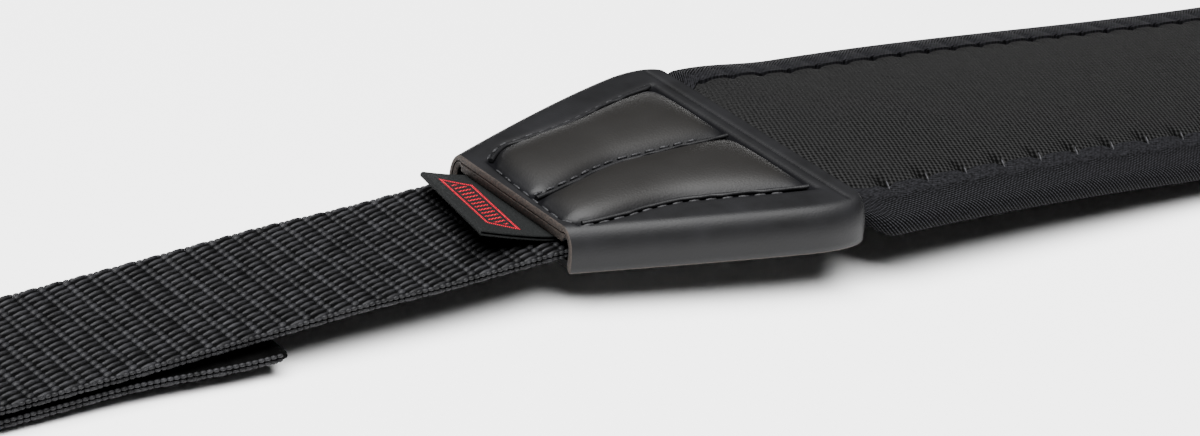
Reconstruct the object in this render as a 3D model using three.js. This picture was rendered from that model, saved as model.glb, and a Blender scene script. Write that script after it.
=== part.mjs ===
// Camera neck strap: a padded neck piece with bound edges, a leatherette end piece on each end,
// and a webbing arm that leaves each end piece, turns round an eye and doubles back under itself.
// Millimetres, +Z up, +X along the strap. The strap lies on the plane z = 0 with the middle of
// the pad at the origin. Each end is built pointing along +X, and the left one is turned round.
import * as THREE from 'three';

// Driving dimensions
const clearance = 0.3; // between pieces that lie on each other

const webbingWidth = 30;
const webbingThickness = 1.9;
const webbingEdgeRound = 0.5; // how far the woven edge tapers
const armLength = 230; // from the mouth of the end piece to the end of the eye
const tailStart = 45; // from the mouth to the free end of the tail
const tailDroop = 1.1; // how far the free end hangs away from the upper layer
const tailShift = 1.2; // how far the free end lies off to one side
const tailBendLength = 30;
const eyeRadius = 5;
const eyeRampLength = 27; // where the upper layer rises to the top of the eye

const keeperLength = 12;
const keeperWall = 1.6;
const keeperRound = 1.2;
const keeperRampLength = 18; // where both layers climb to the keeper's floor
const keeperMargin = 3; // level webbing left beside the keeper

const padWidth = 62;
const padThickness = 6; // at the crown
const padSeamThickness = 5.3; // at the seams beside the bindings
const padEdgeThickness = 3.8; // at the bound edges
const padInset = 14.5; // length of pad held inside an end piece
const padEndThickness = 3.4; // where an end piece squeezes it
const padPinchLength = 6; // outside an end piece, where the pad swells to its full size

const bindingReach = 8.7; // from the pad's edge to the seam
const bindingThickness = 0.8;

const mouthToMouth = 444; // from one end piece's mouth to the other's
const yokeLength = 48.5;
const yokeMouthWidth = 34;
const yokeWideWidth = 62.8;
const coverThickness = 1.6;
const coverShoulder = 3; // rounding of the upper side edges
const coverHem = 0.8; // rounding of the lower side edges
const coverMouthBorder = 3.2; // from the side to the stitched groove, at the mouth
const coverWideBorder = 9; // and from halfway along to the wide end
const grooveDepth = 0.5;
const puffHeight = 1.3; // crown of the two padded channels over the flat leatherette
const puffInset = 2.2; // from the mouth's lip to the channels
const puffBorder = 6.2; // from the channels to the wide end
const puffRampLength = 6;
const backPanelThickness = 1.9;
const backPanelInset = 1;

const labelWidth = 24.5;
const labelReach = 10; // from the mouth's lip to the fold
const labelTuck = 8; // length held inside the mouth
const labelThickness = 0.3; // of one layer
const labelRise = 3.3; // how far the fold stands off the webbing
const labelSkew = 7; // degrees that the fold is turned off square

const humpHeight = 7.8; // how far the strap arches off the surface at each end piece
const humpPlace = 168; // from the middle of the pad to the top of the arch
const humpOuterReach = 191; // from the top of the arch out to where the webbing lies down
const restLength = 24; // of the level stretch at the middle of the pad

// Sizes that follow from them
const lipPlace = mouthToMouth / 2;
const wideEdgePlace = lipPlace - yokeLength;
const padEndPlace = wideEdgePlace + padInset;
const tailPlace = lipPlace + tailStart;
const eyePlace = lipPlace + armLength - eyeRadius - webbingThickness;
const keeperPlace = eyePlace - eyeRampLength - keeperMargin - keeperLength / 2;
const labelStackThickness = 2 * labelThickness + clearance;
const webbingSeat = backPanelThickness + clearance;
const webbingTop = webbingSeat + webbingThickness;
const mouthRoof = webbingTop + clearance + labelStackThickness + clearance;
const wideRoof = backPanelThickness + clearance + padEndThickness + clearance;
const edgeRadius = padEdgeThickness / 2;
const seamPlace = padWidth / 2 - bindingReach;
const puffLength = yokeLength - puffInset - puffBorder;

const arcSteps = 4;
const eyeSteps = 12;

// Materials
const materials = {
  webbing: new THREE.MeshStandardMaterial({ color: 0x1d1d1f, roughness: 0.8, metalness: 0 }),
  leatherette: new THREE.MeshStandardMaterial({ color: 0x2b2a2a, roughness: 0.45, metalness: 0 }),
  neoprene: new THREE.MeshStandardMaterial({ color: 0x262728, roughness: 0.95, metalness: 0 }),
  binding: new THREE.MeshStandardMaterial({ color: 0x151516, roughness: 0.85, metalness: 0 }),
  label: new THREE.MeshStandardMaterial({ color: 0x2c2d2d, roughness: 0.6, metalness: 0 }),
  keeper: new THREE.MeshStandardMaterial({ color: 0x18181a, roughness: 0.5, metalness: 0 }),
};

// A smooth step from 0 to 1
function ease(share) {
  const held = THREE.MathUtils.clamp(share, 0, 1);
  return 0.5 - 0.5 * Math.cos(Math.PI * held);
}

// Height of the strap's underside over the surface that it lies on
function archHeight(x) {
  const offset = Math.abs(x) - humpPlace;
  const reach = offset < 0 ? humpPlace - restLength / 2 : humpOuterReach;
  return humpHeight * ease(1 - Math.abs(offset) / reach);
}

// The webbing also climbs to the keeper's floor
function webbingGround(x) {
  const past = Math.abs(x - keeperPlace) - keeperLength / 2 - keeperMargin;
  return archHeight(x) + (keeperWall + clearance) * ease(1 - past / keeperRampLength);
}

// Stations from one place to another, at most a step apart, both ends included
function stations(from, to, step) {
  const count = Math.max(1, Math.ceil(Math.abs(to - from) / step));
  return Array.from({ length: count + 1 }, (_, k) => THREE.MathUtils.lerp(from, to, k / count));
}

// Points of an arc about a centre in the section's plane, angles in degrees
function arc(y, z, radiusY, radiusZ, fromDegrees, toDegrees) {
  return stations(0, 1, 1 / arcSteps).map((share) => {
    const angle = THREE.MathUtils.degToRad(THREE.MathUtils.lerp(fromDegrees, toDegrees, share));
    return new THREE.Vector2(y + radiusY * Math.cos(angle), z + radiusZ * Math.sin(angle));
  });
}

// A half section from the bottom to the top, closed by its mirror image
function mirrored(half) {
  const other = half.map((p) => new THREE.Vector2(-p.x, p.y)).reverse();
  return [...half, ...other];
}

// A closed body through rings of points, with a flat cap on the first and the last.
// Each ring is { outline, points }: its section as seen from +X, and the same points in space.
function loft(rings) {
  const count = rings[0].points.length;
  const index = [];
  for (let ring = 0; ring + 1 < rings.length; ring++) {
    for (let k = 0; k < count; k++) {
      const a = ring * count + k;
      const b = ring * count + ((k + 1) % count);
      index.push(a, b, a + count, b, b + count, a + count);
    }
  }
  const last = (rings.length - 1) * count;
  for (const [a, b, c] of THREE.ShapeUtils.triangulateShape(rings[0].outline, [])) {
    index.push(a, c, b);
  }
  for (const [a, b, c] of THREE.ShapeUtils.triangulateShape(rings.at(-1).outline, [])) {
    index.push(last + a, last + b, last + c);
  }
  const corners = rings.flatMap((ring) => ring.points);
  const geometry = new THREE.BufferGeometry().setFromPoints(corners);
  geometry.setIndex(index);
  geometry.computeVertexNormals();
  return geometry;
}

// A ring that stands across the strap at x
function crossRing(x, outline) {
  return { outline, points: outline.map((p) => new THREE.Vector3(x, p.x, p.y)) };
}

// Rings across a path in the XZ plane, square to it. Each path point is { x, z, y }, where y is
// the sideways shift, and shear moves a ring's far edge on along X.
function ribbonRings(path, outline) {
  return path.map((place, k) => {
    const before = path[Math.max(k - 1, 0)];
    const after = path[Math.min(k + 1, path.length - 1)];
    const along = new THREE.Vector2(after.x - before.x, after.z - before.z).normalize();
    const points = outline.map((p) => {
      const x = place.x - along.y * p.y + (place.shear ?? 0) * p.x;
      return new THREE.Vector3(x, place.y + p.x, place.z + along.x * p.y);
    });
    return { outline, points };
  });
}

function named(name, geometry, material) {
  const mesh = new THREE.Mesh(geometry, material.clone());
  mesh.name = name;
  return mesh;
}

// The end piece's half width, at a distance in from its mouth: straight sides that flare out
// and bend round to run along the pad
function yokeHalfWidth(inward) {
  const share = inward / yokeLength;
  const curve = new THREE.QuadraticBezierCurve(
    new THREE.Vector2(0, yokeMouthWidth / 2),
    new THREE.Vector2(0.75, yokeMouthWidth / 2 + 0.93 * (yokeWideWidth - yokeMouthWidth) / 2),
    new THREE.Vector2(1, yokeWideWidth / 2),
  );
  // The curve's own parameter for this share: 1.5 t - 0.5 t squared = share
  const parameter = 1.5 - Math.sqrt(2.25 - 2 * share);
  return curve.getPoint(parameter).y;
}

function yokeRoof(inward) {
  return THREE.MathUtils.lerp(mouthRoof, wideRoof, inward / yokeLength);
}

// Pad and bindings: a section of the full pad, fitted to the place along the strap
function padRing(x, outline) {
  const inward = Math.min(lipPlace - Math.abs(x), yokeLength);
  const pinch = ease(1 - (wideEdgePlace - Math.abs(x)) / padPinchLength);
  const heldHalf = yokeHalfWidth(inward) - coverThickness - clearance;
  const widthShare = THREE.MathUtils.lerp(1, heldHalf / (padWidth / 2), pinch);
  const heightShare = THREE.MathUtils.lerp(1, padEndThickness / padThickness, pinch);
  const seat = archHeight(x) + pinch * (backPanelThickness + clearance);
  return crossRing(x, outline.map((p) => new THREE.Vector2(p.x * widthShare, seat + p.y * heightShare)));
}

function padStations() {
  const half = [
    ...stations(restLength / 2, wideEdgePlace - padPinchLength, 13),
    ...stations(wideEdgePlace - padPinchLength, wideEdgePlace, 2).slice(1),
    ...stations(wideEdgePlace, padEndPlace, 5).slice(1),
  ];
  return [...half.map((x) => -x).reverse(), ...half];
}

// The foam core: a crowned top, and edges rebated for the bindings
function padCoreOutline() {
  const rebate = bindingThickness + clearance;
  const noseRadius = edgeRadius - rebate;
  const noseY = padWidth / 2 - edgeRadius;
  const crown = [0.66, 0.33].map((share) => new THREE.Vector2(
    seamPlace * share,
    padSeamThickness + (padThickness - padSeamThickness) * (1 - share * share),
  ));
  return mirrored([
    new THREE.Vector2(seamPlace, 0),
    new THREE.Vector2(seamPlace, rebate),
    ...arc(noseY, edgeRadius, noseRadius, noseRadius, -90, 90),
    new THREE.Vector2(seamPlace, padSeamThickness - rebate),
    new THREE.Vector2(seamPlace, padSeamThickness),
    ...crown,
  ]);
}

// One binding: a tape folded over the edge of the pad, on the +Y side
function bindingOutline() {
  const noseY = padWidth / 2 - edgeRadius;
  const innerRadius = edgeRadius - bindingThickness;
  const hem = seamPlace + clearance;
  return [
    new THREE.Vector2(hem, 0),
    ...arc(noseY, edgeRadius, edgeRadius, edgeRadius, -90, 90),
    new THREE.Vector2(hem, padSeamThickness),
    new THREE.Vector2(hem, padSeamThickness - bindingThickness),
    ...arc(noseY, edgeRadius, innerRadius, innerRadius, 90, -90),
    new THREE.Vector2(hem, bindingThickness),
  ];
}

function neckPad() {
  const core = padCoreOutline();
  const farTape = bindingOutline();
  const nearTape = farTape.map((p) => new THREE.Vector2(-p.x, p.y)).reverse();
  const places = padStations();
  const body = (outline) => loft(places.map((x) => padRing(x, outline)));
  const group = new THREE.Group();
  group.add(
    named('neck_pad', body(core), materials.neoprene),
    named('edge_binding_near', body(nearTape), materials.binding),
    named('edge_binding_far', body(farTape), materials.binding),
  );
  return group;
}

// Height of the two padded channels over the flat leatherette. The share runs across from the
// groove on the centreline, 0, to the groove along the side, 1.
function puffRelief(inward, share) {
  const along = ease((inward - puffInset) / puffRampLength)
    * ease((puffInset + puffLength - inward) / puffRampLength);
  const across = Math.sin(Math.PI * share) ** 0.6;
  return along * (puffHeight * across - grooveDepth * (1 - across));
}

// The cover's section at a distance in from the mouth: a shell that is open below
function coverOutline(inward) {
  const half = yokeHalfWidth(inward);
  const roof = yokeRoof(inward);
  const top = roof + coverThickness;
  const shoulderY = half - coverShoulder;
  const shoulderZ = top - coverShoulder - coverThickness;
  const shoulderRise = top - shoulderZ;
  const border = THREE.MathUtils.lerp(coverMouthBorder, coverWideBorder, ease(inward / (yokeLength / 2)));
  const grooveY = half - Math.max(border, coverShoulder);
  const puffs = [1, 0.85, 0.6, 0.35, 0.13, 0].map((share) => new THREE.Vector2(
    grooveY * share,
    top + puffRelief(inward, share),
  ));
  const inner = arc(shoulderY, shoulderZ, coverShoulder - coverThickness, shoulderRise - coverThickness, 90, 0);
  const outer = arc(shoulderY, shoulderZ, coverShoulder, shoulderRise, 0, 90);
  const leg = [
    new THREE.Vector2(half - coverThickness, 0),
    new THREE.Vector2(half - coverHem, 0),
    new THREE.Vector2(half, coverHem),
  ];
  const right = [...inner, ...leg, ...outer, ...puffs];
  const left = right.slice(0, -1).map((p) => new THREE.Vector2(-p.x, p.y)).reverse();
  return [...right, ...left];
}

function yokeCover() {
  const inward = [
    0,
    ...stations(puffInset, puffInset + puffRampLength, 2),
    ...stations(puffInset + puffRampLength, puffInset + puffLength - puffRampLength, 5).slice(1),
    ...stations(puffInset + puffLength - puffRampLength, puffInset + puffLength, 2).slice(1),
    yokeLength,
  ];
  return loft(inward.reverse().map((distance) => {
    const x = lipPlace - distance;
    const outline = coverOutline(distance).map((p) => new THREE.Vector2(p.x, p.y + archHeight(x)));
    return crossRing(x, outline);
  }));
}

// The flat panel that closes the end piece underneath, between the cover's sides
function yokeBack() {
  const from = wideEdgePlace + backPanelInset;
  const to = lipPlace - backPanelInset;
  return loft(stations(from, to, 6).map((x) => {
    const half = yokeHalfWidth(lipPlace - x) - coverThickness - clearance;
    const floor = archHeight(x);
    return crossRing(x, [
      new THREE.Vector2(-half, floor),
      new THREE.Vector2(half, floor),
      new THREE.Vector2(half, floor + backPanelThickness),
      new THREE.Vector2(-half, floor + backPanelThickness),
    ]);
  }));
}

// The middle of the webbing's thickness in its upper layer: seated on the back panel in the
// mouth, on the tail further out, and climbing to the top of the eye
function upperLayer(x) {
  const onTail = ease((x - lipPlace) / tailStart);
  const seat = THREE.MathUtils.lerp(webbingSeat, webbingThickness + clearance, onTail);
  const rise = 2 * eyeRadius - clearance;
  const climb = rise * ease((x - eyePlace + eyeRampLength) / eyeRampLength);
  return { x, y: 0, z: webbingGround(x) + seat + climb + webbingThickness / 2 };
}

function lowerLayer(x) {
  const loose = ease((tailPlace + tailBendLength - x) / tailBendLength);
  return {
    x,
    y: tailShift * loose,
    z: webbingGround(x) - tailDroop * loose + webbingThickness / 2,
  };
}

function webbingPath() {
  const turnRadius = eyeRadius + webbingThickness / 2;
  const turn = stations(90, -90, 180 / eyeSteps).slice(1, -1).map((degrees) => {
    const angle = THREE.MathUtils.degToRad(degrees);
    return {
      x: eyePlace + turnRadius * Math.cos(angle),
      y: 0,
      z: webbingThickness / 2 + turnRadius * (1 + Math.sin(angle)),
    };
  });
  const rampStart = keeperPlace - keeperLength / 2 - keeperMargin - keeperRampLength;
  return [
    ...stations(padEndPlace + clearance, rampStart, 7).map(upperLayer),
    ...stations(rampStart, eyePlace, 3.5).slice(1).map(upperLayer),
    ...turn,
    ...stations(eyePlace, rampStart, 3.5).map(lowerLayer),
    ...stations(rampStart, tailPlace, 7).slice(1).map(lowerLayer),
  ];
}

function webbingOutline() {
  const half = webbingWidth / 2;
  const rise = webbingThickness / 2;
  return [
    new THREE.Vector2(-half + webbingEdgeRound, -rise),
    new THREE.Vector2(half - webbingEdgeRound, -rise),
    new THREE.Vector2(half, 0),
    new THREE.Vector2(half - webbingEdgeRound, rise),
    new THREE.Vector2(-half + webbingEdgeRound, rise),
    new THREE.Vector2(-half, 0),
  ];
}

function roundedRectangle(target, halfWidth, bottom, top, radius) {
  target.absarc(halfWidth - radius, bottom + radius, radius, -Math.PI / 2, 0);
  target.absarc(halfWidth - radius, top - radius, radius, 0, Math.PI / 2);
  target.absarc(radius - halfWidth, top - radius, radius, Math.PI / 2, Math.PI);
  target.absarc(radius - halfWidth, bottom + radius, radius, Math.PI, 1.5 * Math.PI);
  target.closePath();
  return target;
}

// A plain one-piece band round both layers, lying on the surface
function keeper() {
  const innerHalf = webbingWidth / 2 + clearance;
  const innerTop = keeperWall + 2 * webbingThickness + 3 * clearance;
  const outerHalf = innerHalf + keeperWall;
  const outline = roundedRectangle(new THREE.Shape(), outerHalf, 0, innerTop + keeperWall, keeperRound);
  outline.holes.push(roundedRectangle(new THREE.Path(), innerHalf, keeperWall, innerTop, clearance));
  const geometry = new THREE.ExtrudeGeometry(outline, {
    depth: keeperLength,
    steps: 1,
    curveSegments: arcSteps,
    bevelEnabled: false,
  });
  const across = new THREE.Vector3(0, 1, 0);
  const up = new THREE.Vector3(0, 0, 1);
  const along = new THREE.Vector3(1, 0, 0);
  geometry.applyMatrix4(new THREE.Matrix4().makeBasis(across, up, along));
  return geometry;
}

// A ribbon folded in two, its ends tucked under the cover's lip and its fold standing up
function sideLabel() {
  const foldRadius = (labelThickness + clearance) / 2;
  const skew = Math.tan(THREE.MathUtils.degToRad(labelSkew));
  const place = (x, height) => {
    const out = (x - lipPlace) / labelReach;
    const rise = labelRise * ease(out);
    const seat = archHeight(x) + webbingTop + clearance + labelThickness / 2;
    return { x, y: 0, z: seat + rise + height, shear: skew * Math.max(out, 0) };
  };
  const foldPlace = lipPlace + labelReach - foldRadius - labelThickness / 2;
  const run = stations(lipPlace - labelTuck, foldPlace, 2);
  const fold = stations(-90, 90, 180 / arcSteps).slice(1, -1).map((degrees) => {
    const angle = THREE.MathUtils.degToRad(degrees);
    const bend = place(foldPlace, foldRadius * (1 + Math.sin(angle)));
    return { ...bend, x: foldPlace + foldRadius * Math.cos(angle) };
  });
  const path = [
    ...run.map((x) => place(x, 0)),
    ...fold,
    ...run.toReversed().map((x) => place(x, 2 * foldRadius)),
  ];
  const outline = [
    new THREE.Vector2(-labelWidth / 2, -labelThickness / 2),
    new THREE.Vector2(labelWidth / 2, -labelThickness / 2),
    new THREE.Vector2(labelWidth / 2, labelThickness / 2),
    new THREE.Vector2(-labelWidth / 2, labelThickness / 2),
  ];
  return loft(ribbonRings(path, outline));
}

function strapEnd(side) {
  const group = new THREE.Group();
  const band = named(`keeper_${side}`, keeper(), materials.keeper);
  band.position.set(keeperPlace - keeperLength / 2, 0, 0);
  group.add(
    named(`yoke_cover_${side}`, yokeCover(), materials.leatherette),
    named(`yoke_back_${side}`, yokeBack(), materials.leatherette),
    named(`webbing_${side}`, loft(ribbonRings(webbingPath(), webbingOutline())), materials.webbing),
    band,
  );
  return group;
}

const strap = new THREE.Group();
const leftEnd = strapEnd('left');
leftEnd.add(named('side_label', sideLabel(), materials.label));
leftEnd.rotation.z = Math.PI;
strap.add(neckPad(), leftEnd, strapEnd('right'));

export default strap;
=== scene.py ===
"""Dresses a camera neck strap that lies on a pale floor.

The strap's weave, knit, stitched leatherette, bound edges and folded label are modelled
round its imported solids, in the same frame. Shapes are worked out in millimetres and made
into meshes in metres. Each end is worked out pointing along +X and then turned to its side.
"""

import logging
import math
from dataclasses import dataclass, field
from enum import Enum

import bmesh
import bpy
import numpy as np
from mathutils import Matrix, Vector


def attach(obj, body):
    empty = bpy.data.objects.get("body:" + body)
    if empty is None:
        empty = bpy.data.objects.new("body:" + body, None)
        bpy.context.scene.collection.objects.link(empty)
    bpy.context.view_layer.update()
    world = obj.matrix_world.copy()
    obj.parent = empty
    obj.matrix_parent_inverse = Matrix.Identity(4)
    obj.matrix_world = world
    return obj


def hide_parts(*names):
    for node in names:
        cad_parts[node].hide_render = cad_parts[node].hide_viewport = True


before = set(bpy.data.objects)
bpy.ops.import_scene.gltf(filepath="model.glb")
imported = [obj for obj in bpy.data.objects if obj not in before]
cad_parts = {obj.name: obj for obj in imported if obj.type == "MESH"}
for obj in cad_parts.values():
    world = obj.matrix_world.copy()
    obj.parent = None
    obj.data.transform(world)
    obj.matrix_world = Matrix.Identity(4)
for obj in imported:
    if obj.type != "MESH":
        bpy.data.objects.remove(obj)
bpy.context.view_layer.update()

MM = 0.001  # metres in a millimetre
BODY = "root"
log = logging.getLogger("neck_strap")


class Side(Enum):
    """The strap's two ends, by the way that each points along X."""

    LEFT = -1
    RIGHT = 1

    @property
    def word(self) -> str:
        """The end's name as the nodes give it."""
        return self.name.lower()


# Small tools for numbers and meshes


def ease(share: np.ndarray | float) -> np.ndarray:
    """A smooth step from 0 to 1, for a share that is held between 0 and 1."""
    return 0.5 - 0.5 * np.cos(np.pi * np.clip(share, 0.0, 1.0))


def bell(distance: np.ndarray, width: float) -> np.ndarray:
    """A rounded bump of height 1 at no distance, that fades over the width."""
    return np.exp(-((distance / width) ** 2))


def new_object(name: str, mesh: bpy.types.Mesh) -> bpy.types.Object:
    """Puts a mesh in the scene as an object at the origin."""
    piece = bpy.data.objects.new(name, mesh)
    bpy.context.scene.collection.objects.link(piece)
    return piece


def mesh_object(
    name: str,
    points: np.ndarray,
    faces: list[tuple[int, ...]],
    materials: list[bpy.types.Material],
    sharp_degrees: float = 50.0,
) -> bpy.types.Object:
    """Makes a smooth-shaded object.

    Args:
        name: The piece's name.
        points: Corners in millimetres, one row each.
        faces: Corner numbers of each face.
        materials: The piece's material slots.
        sharp_degrees: Edges that turn more than this stay sharp.

    Returns:
        The object, with its normals turned outwards.
    """
    mesh = bpy.data.meshes.new(name)
    mesh.from_pydata((np.asarray(points) * MM).tolist(), [], faces)
    shape = bmesh.new()
    shape.from_mesh(mesh)
    bmesh.ops.recalc_face_normals(shape, faces=shape.faces)
    shape.to_mesh(mesh)
    shape.free()
    for material in materials:
        mesh.materials.append(material)
    mesh.shade_smooth()
    mesh.set_sharp_from_angle(angle=math.radians(sharp_degrees))
    return new_object(name, mesh)


def note_cloth(piece: bpy.types.Object, places: np.ndarray) -> None:
    """Notes each corner's place on the flat cloth, in millimetres, as the attribute "cloth"."""
    flat = np.zeros((len(piece.data.vertices), 3), np.float32)
    flat[:, : places.shape[1]] = places
    layer = piece.data.attributes.new("cloth", "FLOAT_VECTOR", "POINT")
    layer.data.foreach_set("vector", flat.ravel())


def skin(
    name: str,
    rings: np.ndarray,
    materials: list[bpy.types.Material],
    looped: bool = False,
    cloth: np.ndarray | None = None,
) -> bpy.types.Object:
    """A closed piece through rings of points.

    Args:
        name: The piece's name.
        rings: Points in millimetres, as rings by points by 3.
        materials: The piece's material slots.
        looped: Whether the last ring joins the first, where otherwise both get a cap.
        cloth: Place on the flat cloth of each point, as rings by points by 2.

    Returns:
        The piece.
    """
    total, count = rings.shape[:2]
    faces: list[tuple[int, ...]] = []
    for ring in range(total if looped else total - 1):
        here, there = ring * count, (ring + 1) % total * count
        for k in range(count):
            after = (k + 1) % count
            faces.append((here + k, here + after, there + after, there + k))
    if not looped:
        faces.append(tuple(reversed(range(count))))
        faces.append(tuple(range((total - 1) * count, total * count)))
    piece = mesh_object(name, rings.reshape(-1, 3), faces, materials)
    if cloth is not None:
        note_cloth(piece, cloth.reshape(-1, 2))
    return piece


def shell(
    name: str,
    outer: np.ndarray,
    inner: np.ndarray,
    materials: list[bpy.types.Material],
    cloth: np.ndarray | None = None,
    rim: tuple[tuple[float, float], ...] = (),
) -> bpy.types.Object:
    """A closed sheet with a thickness, between two grids of points with the same counts.

    Args:
        name: The piece's name.
        outer: Points of the outer face in millimetres, as rows by columns by 3.
        inner: Points of the inner face.
        materials: The piece's finish, and a second one for its rim where that differs.
        cloth: Place on the flat cloth of each point, as rows by columns by 2.
        rim: Lines on the rim, each as its share of the way from the outer face to the inner
            one and how far it stands out, in millimetres.

    Returns:
        The piece.
    """
    rows, columns = outer.shape[:2]
    shift = rows * columns
    number = np.arange(shift).reshape(rows, columns)
    a, b, c, d = number[:-1, :-1], number[:-1, 1:], number[1:, 1:], number[1:, :-1]
    front = np.stack([a, b, c, d], -1).reshape(-1, 4)
    back = front[:, ::-1] + shift
    line = np.concatenate([number[0, :], number[1:, -1], number[-1, -2::-1], number[-2:0:-1, 0]])
    within = np.clip(np.stack(np.divmod(line, columns)), 1, [[rows - 2], [columns - 2]])
    flat_outer, flat_inner = outer.reshape(-1, 3), inner.reshape(-1, 3)
    away = flat_outer[line] - outer[within[0], within[1]]
    away /= np.linalg.norm(away, axis=1)[:, None] + 1e-9
    points, loops = [flat_outer, flat_inner], [line]
    for share, push in rim:
        loops.append(2 * shift + (len(loops) - 1) * len(line) + np.arange(len(line)))
        between = flat_outer[line] + (flat_inner[line] - flat_outer[line]) * share
        points.append(between + away * push)
    loops.append(line + shift)
    edge = []
    for near, far in zip(loops[:-1], loops[1:]):
        edge.append(np.stack([np.roll(near, -1), near, far, np.roll(far, -1)], -1))
    faces = [tuple(f) for f in np.concatenate([front, back, *edge]).tolist()]
    piece = mesh_object(name, np.concatenate(points), faces, materials)
    if len(materials) > 1:
        marks = np.zeros(len(faces), np.int32)
        marks[2 * len(front) :] = 1
        piece.data.polygons.foreach_set("material_index", marks)
    if cloth is not None:
        flat = cloth.reshape(-1, 2)
        note_cloth(piece, np.concatenate([flat, flat] + [flat[line]] * len(rim)))
    return piece


def face_normals(grid: np.ndarray) -> np.ndarray:
    """The unit normal at each point of a grid of points, rows crossed with columns."""
    normal = np.cross(np.gradient(grid, axis=0), np.gradient(grid, axis=1))
    return normal / np.linalg.norm(normal, axis=-1)[..., None]


def sweep(
    name: str, path: np.ndarray, wide: np.ndarray, high: float, materials: list[bpy.types.Material]
) -> bpy.types.Object:
    """A rounded fold that lies along a path.

    Args:
        name: The piece's name.
        path: Points in millimetres.
        wide: The fold's half width at each point.
        high: Its half height.
        materials: The piece's material slots.

    Returns:
        The fold.
    """
    tangent = np.gradient(path, axis=0)
    across = np.cross(tangent, [0.0, 0.0, 1.0])
    across /= np.linalg.norm(across, axis=1)[:, None]
    turn = np.linspace(0, 2 * np.pi, 10, endpoint=False)
    rings = (
        path[:, None, :]
        + across[:, None, :] * wide[:, None, None] * np.cos(turn)[None, :, None]
        + np.array([0, 0, 1.0])[None, None, :] * high * np.sin(turn)[None, :, None]
    )
    return skin(name, rings, materials)


def spline_weights(count: int, places: np.ndarray) -> np.ndarray:
    """Cubic B-spline weights of evenly spaced knots.

    Args:
        count: How many knots there are.
        places: Where to sample, from 0 at the first knot to 1 at the last.

    Returns:
        Places by knots.
    """
    spot = np.clip(places, 0, 1) * (count - 1)
    away = np.abs(spot[:, None] - np.arange(-1, count + 1)[None, :])
    near, far = np.clip(1 - away, 0, 1), np.clip(2 - away, 0, 2)
    weights = (far**3 - 4 * near**3) / 6
    weights[:, 1] += weights[:, 0]
    weights[:, -2] += weights[:, -1]
    return weights[:, 1:-1]


def swell(flat: np.ndarray, sewn: np.ndarray, growth: float) -> np.ndarray:
    """Swells a panel between the lines where it is sewn down, by cloth simulation.

    The panel is simulated at ten times its size, where Blender's cloth is steadier.

    Args:
        flat: The panel in millimetres, as rows by columns by 3.
        sewn: True where a point is held.
        growth: How much larger the cloth is than the panel, as a share.

    Returns:
        How far each point rises, in millimetres, as rows by columns.
    """
    rows, columns = sewn.shape
    number = np.arange(rows * columns).reshape(rows, columns)
    quads = np.stack([number[:-1, :-1], number[1:, :-1], number[1:, 1:], number[:-1, 1:]], -1)
    mesh = bpy.data.meshes.new("panel")
    mesh.from_pydata((flat.reshape(-1, 3) * MM * 10).tolist(), [], quads.reshape(-1, 4).tolist())
    panel = new_object("panel", mesh)
    held = panel.vertex_groups.new(name="sewn")
    held.add(number[sewn].tolist(), 1.0, "REPLACE")
    cloth = panel.modifiers.new("cloth", "CLOTH")
    cloth.settings.quality = 8
    cloth.settings.mass = 0.3
    cloth.settings.tension_stiffness = 20
    cloth.settings.compression_stiffness = 20
    cloth.settings.shear_stiffness = 10
    cloth.settings.bending_stiffness = 0.5
    cloth.settings.shrink_min = -growth
    cloth.settings.vertex_group_mass = "sewn"
    cloth.settings.use_pressure = True
    cloth.settings.uniform_pressure_force = 4
    cloth.settings.effector_weights.gravity = 0
    scene = bpy.context.scene
    for step in range(1, 21):
        scene.frame_set(step)
    solved = panel.evaluated_get(bpy.context.evaluated_depsgraph_get()).data
    places = np.zeros(rows * columns * 3, np.float32)
    solved.vertices.foreach_get("co", places)
    bpy.data.objects.remove(panel)
    scene.frame_set(1)
    rise = places.reshape(rows, columns, 3)[..., 2] / MM / 10 - flat[..., 2]
    log.info("panel swelled by %.2f mm", float(np.abs(rise).max()))
    return np.abs(rise)


def turned(points: np.ndarray, side: Side) -> np.ndarray:
    """Turns points of an end that points along +X to the side that it belongs to."""
    return points * np.array([side.value, side.value, 1.0])


def settle(piece: bpy.types.Object, slot: str, *nodes: str) -> bpy.types.Object:
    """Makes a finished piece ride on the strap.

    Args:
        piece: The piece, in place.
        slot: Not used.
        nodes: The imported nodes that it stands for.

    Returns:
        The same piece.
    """
    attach(piece, BODY)
    if nodes:
        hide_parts(*nodes)
    log.info("%s: %d faces", piece.name, len(piece.data.polygons))
    return piece


# Node trees


def add_node(tree: bpy.types.NodeTree, kind: str, inputs: dict | None = None, **settings) -> bpy.types.Node:
    """Adds a node to a tree.

    Args:
        tree: The tree that gets the node.
        kind: The node's type.
        inputs: A socket to link or a value to set, by the input's name or number.
        settings: The node's own properties.

    Returns:
        The new node.
    """
    node = tree.nodes.new(kind)
    for key, value in settings.items():
        setattr(node, key, value)
    for key, value in (inputs or {}).items():
        if isinstance(value, bpy.types.NodeSocket):
            tree.links.new(value, node.inputs[key])
        else:
            node.inputs[key].default_value = value
    return node


def linear(code: str) -> tuple[float, float, float, float]:
    """Turns an sRGB hex colour into linear red, green, blue and alpha."""
    levels = [int(code[k : k + 2], 16) / 255 for k in (1, 3, 5)]
    light = [c / 12.92 if c <= 0.04045 else ((c + 0.055) / 1.055) ** 2.4 for c in levels]
    return (*light, 1.0)


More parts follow.
